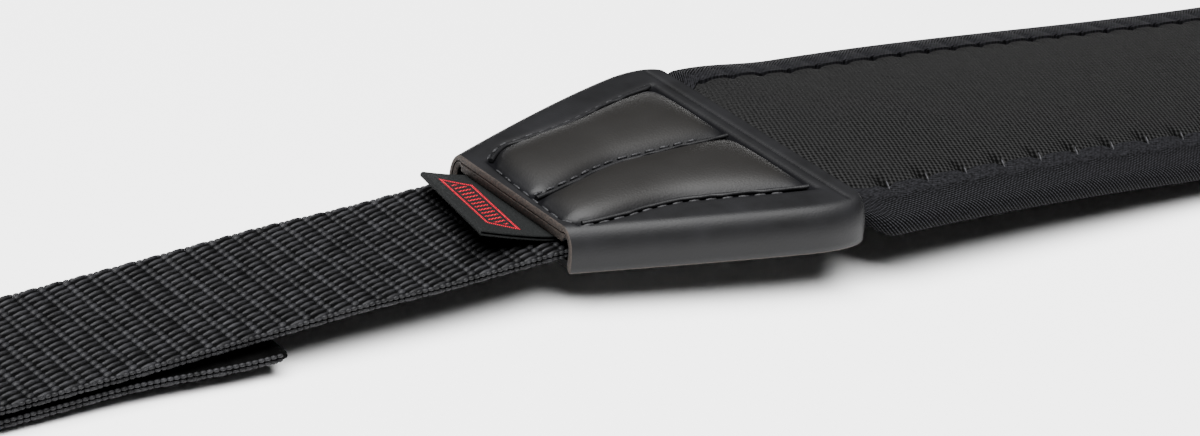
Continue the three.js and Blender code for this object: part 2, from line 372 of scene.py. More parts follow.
def blend_tones(
    tree: bpy.types.NodeTree, factor: bpy.types.NodeSocket, tones: list[tuple[float, str]]
) -> bpy.types.NodeSocket:
    """Turns a factor into colours.

    Args:
        tree: The material's tree.
        factor: The socket with the factor.
        tones: Places from 0 to 1 with their sRGB hex colours.

    Returns:
        The socket with the colour.
    """
    ramp = add_node(tree, "ShaderNodeValToRGB", {"Fac": factor})
    while len(ramp.color_ramp.elements) < len(tones):
        ramp.color_ramp.elements.new(0.5)
    for stop, (place, code) in zip(ramp.color_ramp.elements, tones):
        stop.position = place
        stop.color = linear(code)
    return ramp.outputs["Color"]


def new_material(
    name: str, roughness: float, ior: float, specular: float = 0.5
) -> tuple[bpy.types.NodeTree, bpy.types.Node, bpy.types.Material]:
    """Makes a material with no pattern yet.

    Args:
        name: What the material is.
        roughness: The shader's roughness.
        ior: The shader's index of refraction.
        specular: How much of the usual reflection shows, with 0.5 for all of it.

    Returns:
        Its tree, its shader node and the material.
    """
    material = bpy.data.materials.new(name)
    material.use_nodes = True
    shader = material.node_tree.nodes["Principled BSDF"]
    shader.inputs["Roughness"].default_value = roughness
    shader.inputs["IOR"].default_value = ior
    shader.inputs["Specular IOR Level"].default_value = specular
    return material.node_tree, shader, material


# Finishes


@dataclass(frozen=True)
class WovenYarn:
    """Bulked black nylon yarn: thick strands of fine filament with a dull sheen.

    The filaments run along the strap and show as faint streaks on each float.
    """

    name: str = "woven_nylon_yarn"
    tones: tuple[str, str] = ("#0e0e0f", "#232325")
    roughness: float = 0.5
    specular: float = 0.1
    filament_mm: float = 0.14  # drawn coarser than a real filament, so that the streaks show
    streak_mm: float = 1.8

    def material(self) -> bpy.types.Material:
        """Builds the material on Object coordinates."""
        tree, shader, material = new_material(self.name, self.roughness, 1.53, self.specular)
        place = add_node(tree, "ShaderNodeTexCoord").outputs["Object"]
        along = self.filament_mm / self.streak_mm
        stretch = add_node(tree, "ShaderNodeMapping", {"Vector": place, "Scale": (along, 1.0, 1.0)})
        streaks = add_node(
            tree,
            "ShaderNodeTexNoise",
            {"Vector": stretch.outputs["Vector"], "Scale": 1 / (self.filament_mm * MM), "Detail": 2.0},
        ).outputs["Fac"]
        patches = add_node(
            tree, "ShaderNodeTexNoise", {"Vector": place, "Scale": 1 / (2.5 * MM), "Detail": 1.0}
        ).outputs["Fac"]
        both = add_node(tree, "ShaderNodeMath", {0: streaks, 1: patches}, operation="MULTIPLY").outputs[0]
        colour = blend_tones(tree, both, [(0.15, self.tones[0]), (0.4, self.tones[1])])
        relief = add_node(
            tree, "ShaderNodeBump", {"Height": streaks, "Strength": 0.6, "Distance": 0.08 * MM}
        )
        tree.links.new(colour, shader.inputs["Base Color"])
        tree.links.new(relief.outputs["Normal"], shader.inputs["Normal"])
        return material


@dataclass(frozen=True)
class RibbedJersey:
    """Charcoal nylon jersey bonded on foam: matt, with fine ribs of loops that lean across the strap.

    The ribs open up and show most where the cloth is pulled down to the near seam.
    """

    name: str = "ribbed_nylon_jersey"
    tones: tuple[str, str] = ("#020202", "#222222")
    roughness: float = 0.85
    specular: float = 0.03
    ribs_along: float = 1.2  # ribs in each millimetre along the strap
    ribs_across: float = -0.45  # and in each millimetre across it
    loops_along: float = 0.42  # loops on a rib, in each millimetre along the strap
    loops_across: float = 1.1
    relief_mm: float = 0.11
    pucker_mm: float = 8.2  # the near seam's stitch spacing

    def material(self) -> bpy.types.Material:
        """Builds the material on Object coordinates."""
        tree, shader, material = new_material(self.name, self.roughness, 1.5, self.specular)
        place = add_node(tree, "ShaderNodeTexCoord").outputs["Object"]
        turns = 2 * math.pi / MM

        def maths(how: str, *values: bpy.types.NodeSocket | float) -> bpy.types.NodeSocket:
            """One sum on numbers."""
            return add_node(tree, "ShaderNodeMath", dict(enumerate(values)), operation=how).outputs[0]

        def noise(size_mm: float, detail: float) -> bpy.types.NodeSocket:
            """Soft noise whose patches are about that size."""
            return add_node(
                tree, "ShaderNodeTexNoise", {"Vector": place, "Scale": 1 / (size_mm * MM), "Detail": detail}
            ).outputs["Fac"]

        def wave(along: float, across: float, wander: bpy.types.NodeSocket) -> bpy.types.NodeSocket:
            """A sine wave across the cloth, led a little astray."""
            way = (along * turns, across * turns, 0.0)
            phase = add_node(tree, "ShaderNodeVectorMath", {0: place, 1: way}, operation="DOT_PRODUCT")
            return maths("SINE", maths("MULTIPLY_ADD", wander, 3.0, phase.outputs["Value"]))

        wander = noise(3.0, 2.0)
        rib = wave(self.ribs_along, self.ribs_across, wander)
        loop = wave(self.loops_along, self.loops_across, wander)
        depth = add_node(tree, "ShaderNodeSeparateXYZ", {0: place}).outputs["Y"]
        open_up = add_node(
            tree,
            "ShaderNodeMapRange",
            {"Value": depth, "From Min": 16 * MM, "From Max": -21 * MM, "To Min": 0.22, "To Max": 1.0},
        ).outputs["Result"]
        strength = maths("MULTIPLY", open_up, maths("ADD", noise(9.0, 1.0), 0.5))
        knit = maths("MULTIPLY", maths("MULTIPLY_ADD", loop, 0.6, rib), strength)
        height = maths("MULTIPLY_ADD", noise(0.3, 2.0), 2.6, knit)
        run = maths("MULTIPLY", add_node(tree, "ShaderNodeSeparateXYZ", {0: place}).outputs["X"], 1 / MM)
        beat = maths("PINGPONG", maths("DIVIDE", run, self.pucker_mm), 0.5)
        pulse = add_node(tree, "ShaderNodeMapRange", {"Value": beat, "From Min": 0.17, "From Max": 0.02})
        seam = add_node(
            tree, "ShaderNodeMapRange", {"Value": depth, "From Min": -18.0 * MM, "From Max": -21.5 * MM}
        )
        # Above each near stitch the height sinks in the gathers: a real pucker in the bump, and painted shade in the
        # colour.
        pucker_and_shade = maths("MULTIPLY", pulse.outputs["Result"], seam.outputs["Result"])
        height = maths("MULTIPLY_ADD", pucker_and_shade, -1.3, height)
        shade = add_node(
            tree, "ShaderNodeMapRange", {"Value": height, "From Min": 0.2, "From Max": 2.6}
        ).outputs["Result"]
        relief = add_node(
            tree, "ShaderNodeBump", {"Height": height, "Strength": 1.0, "Distance": self.relief_mm * MM}
        )
        colour = blend_tones(tree, shade, [(0.0, self.tones[0]), (1.0, self.tones[1])])
        tree.links.new(colour, shader.inputs["Base Color"])
        tree.links.new(relief.outputs["Normal"], shader.inputs["Normal"])
        return material


@dataclass(frozen=True)
class TwillTape:
    """Black polyester twill tape: smooth, with fine diagonal lines that glint on its outer side.

    Towards its hems the tape is pressed flat and looks plain.
    """

    name: str = "polyester_twill_tape"
    tones: tuple[str, str] = ("#000000", "#27272a")
    roughness: float = 0.8
    specular: float = 0.03
    line_mm: float = 0.5
    plain_from: float = 15.0
    plain_below: float = 4.5

    def material(self) -> bpy.types.Material:
        """Builds the material on the piece's own cloth attribute, in millimetres."""
        tree, shader, material = new_material(self.name, self.roughness, 1.53, self.specular)
        cloth = add_node(tree, "ShaderNodeAttribute", attribute_name="cloth").outputs["Vector"]

        def maths(how: str, *values: bpy.types.NodeSocket | float) -> bpy.types.NodeSocket:
            """One sum on numbers."""
            return add_node(tree, "ShaderNodeMath", dict(enumerate(values)), operation=how).outputs[0]

        def ramp(value: bpy.types.NodeSocket, low: float, high: float) -> bpy.types.NodeSocket:
            """From 0 at low to 1 at high."""
            return add_node(
                tree, "ShaderNodeMapRange", {"Value": value, "From Min": low, "From Max": high}
            ).outputs["Result"]

        turns = 2 * math.pi / (self.line_mm * math.sqrt(2))
        way = (turns, turns, 0.0)
        phase = add_node(tree, "ShaderNodeVectorMath", {0: cloth, 1: way}, operation="DOT_PRODUCT")
        cross = add_node(
            tree, "ShaderNodeVectorMath", {0: cloth, 1: (turns, -turns, 0.0)}, operation="DOT_PRODUCT"
        )
        line = maths("SINE", phase.outputs["Value"])
        dots = maths("MULTIPLY_ADD", maths("SINE", cross.outputs["Value"]), 0.3, line)
        run = add_node(tree, "ShaderNodeSeparateXYZ", {0: cloth}).outputs["Y"]
        shown = maths("MULTIPLY", ramp(run, self.plain_from + 1.5, self.plain_from - 1.0),
                      ramp(run, self.plain_below - 1.5, self.plain_below + 1.0))
        fuzz = add_node(tree, "ShaderNodeTexNoise", {"Vector": cloth, "Scale": 1.6, "Detail": 4.0}).outputs["Fac"]
        height = maths("ADD", maths("MULTIPLY", dots, maths("MAXIMUM", shown, 0.12)), maths("MULTIPLY", fuzz, 1.1))
        shade = ramp(maths("ADD", height, maths("MULTIPLY_ADD", shown, -0.4, 0.4)), 0.65, 1.75)
        relief = add_node(
            tree, "ShaderNodeBump", {"Height": height, "Strength": 0.9, "Distance": 0.06 * MM}
        )
        colour = blend_tones(tree, shade, [(0.0, self.tones[0]), (1.0, self.tones[1])])
        tree.links.new(colour, shader.inputs["Base Color"])
        tree.links.new(relief.outputs["Normal"], shader.inputs["Normal"])
        return material


@dataclass(frozen=True)
class SatinLeatherette:
    """Coated leatherette: smooth and satin, with a very fine pressed grain.

    Over the padding its colour is painted a little lighter and warmer, a painted highlight.
    In the sewn grooves its reflection is turned down, a painted shade.
    """

    name: str = "satin_leatherette"
    # The slack tones' slight cool tint is painted for the cool cast of light on the side wrap; the padded tone below
    # is a painted highlight.
    tones: tuple[str, str] = ("#060607", "#0c0c0e")
    painted_highlight_tone: str = "#11100f"
    roughness: float = 0.5
    specular: float = 0.2
    grain_mm: float = 0.35
    grain_relief_mm: float = 0.03

    def material(self) -> bpy.types.Material:
        """Builds the material on Object coordinates."""
        tree, shader, material = new_material(self.name, self.roughness, 1.5, self.specular)
        place = add_node(tree, "ShaderNodeTexCoord").outputs["Object"]
        grain = add_node(
            tree, "ShaderNodeTexVoronoi", {"Vector": place, "Scale": 1 / (self.grain_mm * MM)}
        ).outputs["Distance"]
        cloud = add_node(
            tree, "ShaderNodeTexNoise", {"Vector": place, "Scale": 1 / (6 * MM), "Detail": 4.0}
        ).outputs["Fac"]
        relief = add_node(
            tree,
            "ShaderNodeBump",
            {"Height": grain, "Strength": 0.5, "Distance": self.grain_relief_mm * MM},
        )
        rough = add_node(
            tree,
            "ShaderNodeMapRange",
            {"Value": cloud, "To Min": self.roughness - 0.06, "To Max": self.roughness + 0.06},
        ).outputs["Result"]
        slack = blend_tones(tree, cloud, [(0.3, self.tones[0]), (0.7, self.tones[1])])
        padding = add_node(tree, "ShaderNodeAttribute", attribute_name="cloth").outputs["Vector"]
        rise = add_node(tree, "ShaderNodeSeparateXYZ", {0: padding}).outputs["X"]
        # Painted highlight: as the relief rises over the padding, the colour turns to the lighter, warmer padded tone.
        stretch = add_node(
            tree, "ShaderNodeMapRange", {"Value": rise, "From Min": 0.1, "From Max": 1.2}
        ).outputs["Result"]
        colour = add_node(
            tree,
            "ShaderNodeMixRGB",
            {"Fac": stretch, "Color1": slack, "Color2": linear(self.painted_highlight_tone)},
        ).outputs[0]
        tree.links.new(colour, shader.inputs["Base Color"])
        # Painted shade: the reflection fades out where the relief sinks into the sewn grooves.
        groove_shade_specular = add_node(
            tree,
            "ShaderNodeMapRange",
            {"Value": rise, "From Min": -0.42, "From Max": -0.08, "To Min": 0.02, "To Max": self.specular},
        ).outputs["Result"]
        tree.links.new(groove_shade_specular, shader.inputs["Specular IOR Level"])
        tree.links.new(rough, shader.inputs["Roughness"])
        tree.links.new(relief.outputs["Normal"], shader.inputs["Normal"])
        return material


@dataclass(frozen=True)
class CutEdge:
    """The cut edge of leatherette: brownish fibre backing, matt and a little ragged."""

    name: str = "cut_leatherette_edge"
    tones: tuple[str, str] = ("#15110e", "#342b25")
    roughness: float = 0.85

    def material(self) -> bpy.types.Material:
        """Builds the material on Object coordinates."""
        tree, shader, material = new_material(self.name, self.roughness, 1.5)
        place = add_node(tree, "ShaderNodeTexCoord").outputs["Object"]
        fibre = add_node(
            tree, "ShaderNodeTexNoise", {"Vector": place, "Scale": 1 / (0.3 * MM), "Detail": 3.0}
        ).outputs["Fac"]
        relief = add_node(tree, "ShaderNodeBump", {"Height": fibre, "Distance": 0.08 * MM})
        colour = blend_tones(tree, fibre, [(0.35, self.tones[0]), (0.65, self.tones[1])])
        tree.links.new(colour, shader.inputs["Base Color"])
        tree.links.new(relief.outputs["Normal"], shader.inputs["Normal"])
        return material


@dataclass(frozen=True)
class SewingThread:
    """Bonded polyester sewing thread: twisted plies with a waxy glint."""

    name: str = "bonded_sewing_thread"
    tones: tuple[str, str] = ("#0b0b0c", "#2c2c2e")
    roughness: float = 0.55
    specular: float = 0.15
    ply_mm: float = 0.35

    def material(self) -> bpy.types.Material:
        """Builds the material on Object coordinates."""
        tree, shader, material = new_material(self.name, self.roughness, 1.55, self.specular)
        place = add_node(tree, "ShaderNodeTexCoord").outputs["Object"]
        ply = add_node(
            tree, "ShaderNodeTexNoise", {"Vector": place, "Scale": 1 / (self.ply_mm * MM), "Detail": 1.0}
        ).outputs["Fac"]
        colour = blend_tones(tree, ply, [(0.35, self.tones[0]), (0.65, self.tones[1])])
        tree.links.new(colour, shader.inputs["Base Color"])
        return material


@dataclass(frozen=True)
class PrintedRibbon:
    """Dark grey woven ribbon with a red embroidered border round a plain row of bars."""

    name: str = "embroidered_ribbon"
    cloth_tones: tuple[str, str] = ("#0b0c0c", "#181919")
    ink_tones: tuple[str, str] = ("#3a060e", "#b8142a")
    roughness: float = 0.7
    middle: tuple[float, float] = (5.25, 12.5)
    half: tuple[float, float] = (2.7, 8.75)
    slant: tuple[float, float] = (0.04, 0.28)
    line_mm: float = 0.27
    bar_mm: float = 1.3
    thread_mm: float = 0.45

    def material(self) -> bpy.types.Material:
        """Builds the material on the piece's own cloth attribute, in millimetres."""
        tree, shader, material = new_material(self.name, self.roughness, 1.53, 0.06)
        cloth = add_node(tree, "ShaderNodeAttribute", attribute_name="cloth").outputs["Vector"]

        def maths(how: str, *values: bpy.types.NodeSocket | float) -> bpy.types.NodeSocket:
            """One sum on numbers."""
            return add_node(tree, "ShaderNodeMath", dict(enumerate(values)), operation=how).outputs[0]

        split = add_node(tree, "ShaderNodeSeparateXYZ", {0: cloth}).outputs
        from_x = maths("SUBTRACT", split["X"], self.middle[0])
        from_y = maths("SUBTRACT", split["Y"], self.middle[1])
        set_x = maths("MULTIPLY_ADD", from_y, -self.slant[0], from_x)
        set_y = maths("MULTIPLY_ADD", from_x, -self.slant[1], from_y)
        off_x = maths("SUBTRACT", maths("ABSOLUTE", set_x), self.half[0])
        off_y = maths("SUBTRACT", maths("ABSOLUTE", set_y), self.half[1])
        edge = maths("MAXIMUM", off_x, off_y)
        border = maths("LESS_THAN", maths("ABSOLUTE", edge), self.line_mm)
        lean = maths("ADD", split["Y"], maths("MULTIPLY", split["X"], 0.5))
        bars = maths("GREATER_THAN", maths("SINE", maths("MULTIPLY", lean, 2 * math.pi / self.bar_mm)), 0.45)
        bars = maths("MULTIPLY", bars, maths("LESS_THAN", edge, -0.95))
        marks = maths("MAXIMUM", border, bars)
        thread = maths("SINE", maths("MULTIPLY", maths("ADD", split["X"], split["Y"]), 2 * math.pi / self.thread_mm))
        weave = add_node(tree, "ShaderNodeTexNoise", {"Vector": cloth, "Scale": 3.0, "Detail": 3.0}).outputs["Fac"]
        broken = maths("ADD", maths("MULTIPLY", thread, 0.22), weave)
        ink = blend_tones(tree, broken, [(0.38, self.ink_tones[0]), (0.72, self.ink_tones[1])])
        plain = blend_tones(tree, weave, [(0.3, self.cloth_tones[0]), (0.7, self.cloth_tones[1])])
        colour = add_node(tree, "ShaderNodeMixRGB", {"Fac": marks, "Color1": plain, "Color2": ink}).outputs[0]
        height = maths("ADD", maths("MULTIPLY", marks, 1.5), broken)
        relief = add_node(tree, "ShaderNodeBump", {"Height": height, "Strength": 0.7, "Distance": 0.06 * MM})
        tree.links.new(colour, shader.inputs["Base Color"])
        tree.links.new(relief.outputs["Normal"], shader.inputs["Normal"])
        return material


@dataclass(frozen=True)
class MouldedAcetal:
    """Moulded black acetal: even and semi-matt, from a lightly sparked mould."""

    name: str = "moulded_acetal"
    tones: tuple[str, str] = ("#18181a", "#202022")
    roughness: float = 0.45
    spark_mm: float = 0.25

    def material(self) -> bpy.types.Material:
        """Builds the material on Object coordinates."""
        tree, shader, material = new_material(self.name, self.roughness, 1.48)
        place = add_node(tree, "ShaderNodeTexCoord").outputs["Object"]
        spark = add_node(
            tree, "ShaderNodeTexNoise", {"Vector": place, "Scale": 1 / (self.spark_mm * MM), "Detail": 2.0}
        ).outputs["Fac"]
        relief = add_node(
            tree, "ShaderNodeBump", {"Height": spark, "Strength": 0.4, "Distance": 0.03 * MM}
        )
        colour = blend_tones(tree, spark, [(0.3, self.tones[0]), (0.7, self.tones[1])])
        tree.links.new(colour, shader.inputs["Base Color"])
        tree.links.new(relief.outputs["Normal"], shader.inputs["Normal"])
        return material


# What repeats along a path


@dataclass
class Rows:
    """Rounded strands that repeat along a path, in columns across it.

    All sizes are in millimetres. Every second column starts half a spacing further on.
    """

    count: int
    spacing: float
    length: float
    width: float
    depth: float
    columns: int = 1
    pitch: float = 1.0
    start: float = 0.0
    lift: float = 0.0
    stagger: float = 0.5
    tilt: float = 0.0
    skew: float = 0.0
    wander: float = 0.05
    seed: int = 1


class StrandTree:
    """The Geometry Nodes tree that lays strands in rows along a path."""

    LENGTHS = ("Spacing", "Length", "Width", "Depth", "Pitch", "Start", "Lift")

    def __init__(self) -> None:
        """Builds the tree."""
        self.tree = bpy.data.node_groups.new("strands_along_a_path", "GeometryNodeTree")
        self.sockets: dict[str, str] = {}
        face = self.tree.interface
        face.new_socket("Geometry", in_out="INPUT", socket_type="NodeSocketGeometry")
        face.new_socket("Geometry", in_out="OUTPUT", socket_type="NodeSocketGeometry")
        kinds = {name: "NodeSocketFloat" for name in self.LENGTHS}
        kinds |= {name: "NodeSocketFloat" for name in ("Stagger", "Tilt", "Skew", "Wander")}
        kinds |= {"Count": "NodeSocketInt", "Columns": "NodeSocketInt", "Seed": "NodeSocketInt"}
        kinds |= {"Across": "NodeSocketVector", "Material": "NodeSocketMaterial"}
        for name, kind in kinds.items():
            self.sockets[name] = face.new_socket(name, in_out="INPUT", socket_type=kind).identifier
        self._lay()

    def _lay(self) -> None:
        """Adds the nodes."""
        t = self.tree
        given = add_node(t, "NodeGroupInput").outputs

        def maths(how: str, *values: bpy.types.NodeSocket | float) -> bpy.types.NodeSocket:
            """One sum on numbers."""
            return add_node(t, "ShaderNodeMath", dict(enumerate(values)), operation=how).outputs[0]

        def vectors(how: str, *values: bpy.types.NodeSocket | tuple) -> bpy.types.NodeSocket:
            """One sum on vectors."""
            return add_node(t, "ShaderNodeVectorMath", dict(enumerate(values)), operation=how).outputs[0]

        line = add_node(t, "GeometryNodeMeshToCurve", {"Mesh": given["Geometry"]}).outputs["Curve"]
        points = add_node(
            t, "GeometryNodeMeshGrid", {"Vertices X": given["Count"], "Vertices Y": given["Columns"]}
        ).outputs["Mesh"]
        index = add_node(t, "GeometryNodeInputIndex").outputs["Index"]
        row = maths("FLOOR", maths("DIVIDE", maths("ADD", index, 0.5), given["Columns"]))
        column = maths("SUBTRACT", index, maths("MULTIPLY", row, given["Columns"]))
        odd = maths("MODULO", column, 2.0)
        shift = add_node(
            t,
            "FunctionNodeRandomValue",
            {"Min": (-1.0, -1.0, -1.0), "Max": (1.0, 1.0, 1.0), "Seed": given["Seed"]},
            data_type="FLOAT_VECTOR",
        ).outputs["Value"]
        stray = add_node(t, "ShaderNodeSeparateXYZ", {0: vectors("SCALE", shift)})
        scale = stray.inputs[0].links[0].from_node
        t.links.new(given["Wander"], scale.inputs["Scale"])
        steps = maths("ADD", row, maths("MULTIPLY", odd, given["Stagger"]))
        steps = maths("ADD", steps, stray.outputs["X"])
        along = maths("ADD", given["Start"], maths("MULTIPLY", steps, given["Spacing"]))
        sample = add_node(t, "GeometryNodeSampleCurve", {"Curves": line, "Length": along}, mode="LENGTH")
        tangent = vectors("NORMALIZE", sample.outputs["Tangent"])
        normal = vectors("NORMALIZE", vectors("CROSS_PRODUCT", tangent, given["Across"]))
        half = maths("MULTIPLY", maths("SUBTRACT", given["Columns"], 1.0), 0.5)
        aside = maths("MULTIPLY", maths("ADD", maths("SUBTRACT", column, half), stray.outputs["Y"]), given["Pitch"])
        offset = add_node(t, "ShaderNodeVectorMath", {0: given["Across"]}, operation="SCALE")
        t.links.new(aside, offset.inputs["Scale"])
        rise = add_node(t, "ShaderNodeVectorMath", {0: normal}, operation="SCALE")
        t.links.new(given["Lift"], rise.inputs["Scale"])
        place = vectors("ADD", vectors("ADD", sample.outputs["Position"], offset.outputs[0]), rise.outputs[0])
        placed = add_node(t, "GeometryNodeSetPosition", {"Geometry": points, "Position": place})
        turn = add_node(
            t,
            "FunctionNodeAxesToRotation",
            {"Primary Axis": normal, "Secondary Axis": tangent},
            primary_axis="Z",
            secondary_axis="X",
        ).outputs["Rotation"]
        lean = add_node(t, "ShaderNodeCombineXYZ", {"Y": given["Tilt"], "Z": maths("ADD", given["Skew"], stray.outputs["Z"])}).outputs[0]
        turn = add_node(
            t, "FunctionNodeRotateRotation", {"Rotation": turn, "Rotate By": lean}, rotation_space="LOCAL"
        ).outputs[0]
        ball = add_node(
            t, "GeometryNodeMeshUVSphere", {"Segments": 6, "Rings": 4, "Radius": 0.5}
        ).outputs["Mesh"]
        laid = add_node(
            t, "GeometryNodeTransform", {"Geometry": ball, "Rotation": (0.0, math.pi / 2, 0.0)}
        ).outputs["Geometry"]
        sizes = add_node(
            t, "ShaderNodeCombineXYZ", {"X": given["Length"], "Y": given["Width"], "Z": given["Depth"]}
        ).outputs[0]
        strand = add_node(t, "GeometryNodeTransform", {"Geometry": laid, "Scale": sizes}).outputs["Geometry"]
        soft = add_node(t, "GeometryNodeSetShadeSmooth", {"Geometry": strand}).outputs["Geometry"]
        many = add_node(
            t,
            "GeometryNodeInstanceOnPoints",
            {"Points": placed.outputs["Geometry"], "Instance": soft, "Rotation": turn},
        ).outputs["Instances"]
        real = add_node(t, "GeometryNodeRealizeInstances", {"Geometry": many}).outputs["Geometry"]
        dressed = add_node(
            t, "GeometryNodeSetMaterial", {"Geometry": real, "Material": given["Material"]}
        ).outputs["Geometry"]
        add_node(t, "NodeGroupOutput", {"Geometry": dressed})

    def lay(
        self, name: str, path: np.ndarray, rows: Rows, across: np.ndarray, material: bpy.types.Material
    ) -> bpy.types.Object:
        """Lays strands along a path.

        Args:
            name: The piece's name.
            path: Points in millimetres, one row each.
            rows: The strands' sizes.
            across: The unit vector across the path; the strands' outer side is the path's
                direction crossed with it.
            material: The strands' finish.

        Returns:
            The strands as one plain mesh object.
        """
        mesh = bpy.data.meshes.new(name + "_path")
        edges = [(k, k + 1) for k in range(len(path) - 1)]
        mesh.from_pydata((path * MM).tolist(), edges, [])
        carrier = new_object(name + "_path", mesh)
        modifier = carrier.modifiers.new("strands", "NODES")
        modifier.node_group = self.tree
        values = {key: getattr(rows, key.lower()) * MM for key in self.LENGTHS}
        values |= {"Stagger": rows.stagger, "Tilt": rows.tilt, "Skew": rows.skew, "Wander": rows.wander}
        values |= {"Count": rows.count, "Columns": rows.columns, "Seed": rows.seed}
        values |= {"Across": tuple(float(v) for v in across), "Material": material}
        for key, value in values.items():
            modifier[self.sockets[key]] = value
        graph = bpy.context.evaluated_depsgraph_get()
        made = bpy.data.meshes.new_from_object(carrier.evaluated_get(graph), depsgraph=graph)
        made.name = name
        bpy.data.objects.remove(carrier)
        return new_object(name, made)


def joined(name: str, parts: list[bpy.types.Object]) -> bpy.types.Object:
    """Joins mesh objects with one finish into a single piece.

    Args:
        name: The piece's name.
        parts: The objects, which are used up.

    Returns:
        The piece.
    """
    shape = bmesh.new()
    for part in parts:
        shape.from_mesh(part.data)
    mesh = bpy.data.meshes.new(name)
    shape.to_mesh(mesh)
    shape.free()
    mesh.materials.append([m for m in parts[0].data.materials if m][0])
    mesh.polygons.foreach_set("material_index", [0] * len(mesh.polygons))
    mesh.shade_smooth()
    for part in parts:
        bpy.data.objects.remove(part)
    return new_object(name, mesh)


# How the strap lies


@dataclass(frozen=True)
class Lie:
    """How the strap lies: an arch off the surface at each end piece, flat between and beyond."""

    hump: float = 7.8
    hump_place: float = 168.0
    inner_reach: float = 156.0
    outer_reach: float = 191.0
    keeper_place: float = 409.1
    keeper_length: float = 12.0
    keeper_wall: float = 1.6
    keeper_ramp: float = 18.0
    keeper_margin: float = 3.0
    gap: float = 0.3

    def arch(self, x: np.ndarray) -> np.ndarray:
        """The strap's height off the surface at a place along it."""
        over = np.abs(x) - self.hump_place
        reach = np.where(over < 0, self.inner_reach, self.outer_reach)
        return self.hump * ease(1 - np.abs(over) / reach)

    def webbing_ground(self, x: np.ndarray) -> np.ndarray:
        """The same under the webbing, which also climbs over the keeper's wall."""
        over = np.abs(x - self.keeper_place) - self.keeper_length / 2 - self.keeper_margin
        return self.arch(x) + (self.keeper_wall + self.gap) * ease(1 - over / self.keeper_ramp)


@dataclass
class Finishes:
    """The strap's materials, made once."""

    yarn: bpy.types.Material = field(default_factory=lambda: WovenYarn().material())
    # The ground weave is the same yarn painted near black and matt, a painted shade in the slots between the floats.
    ground: bpy.types.Material = field(
        default_factory=lambda: WovenYarn("woven_nylon_ground_painted_shade", ("#000000", "#040404"), 0.9, 0.03).material()
    )
    jersey: bpy.types.Material = field(default_factory=lambda: RibbedJersey().material())
    tape: bpy.types.Material = field(default_factory=lambda: TwillTape().material())
    leatherette: bpy.types.Material = field(default_factory=lambda: SatinLeatherette().material())
    edge: bpy.types.Material = field(default_factory=lambda: CutEdge().material())
    thread: bpy.types.Material = field(default_factory=lambda: SewingThread().material())
    # A lighter tone of the same thread for the near seam's ticks, a painted glint.
    thread_painted_glint: bpy.types.Material = field(
        default_factory=lambda: SewingThread("sewing_thread_painted_glint", ("#141415", "#343437")).material()
    )
    ribbon: bpy.types.Material = field(default_factory=lambda: PrintedRibbon().material())
    acetal: bpy.types.Material = field(default_factory=lambda: MouldedAcetal().material())


# The webbing


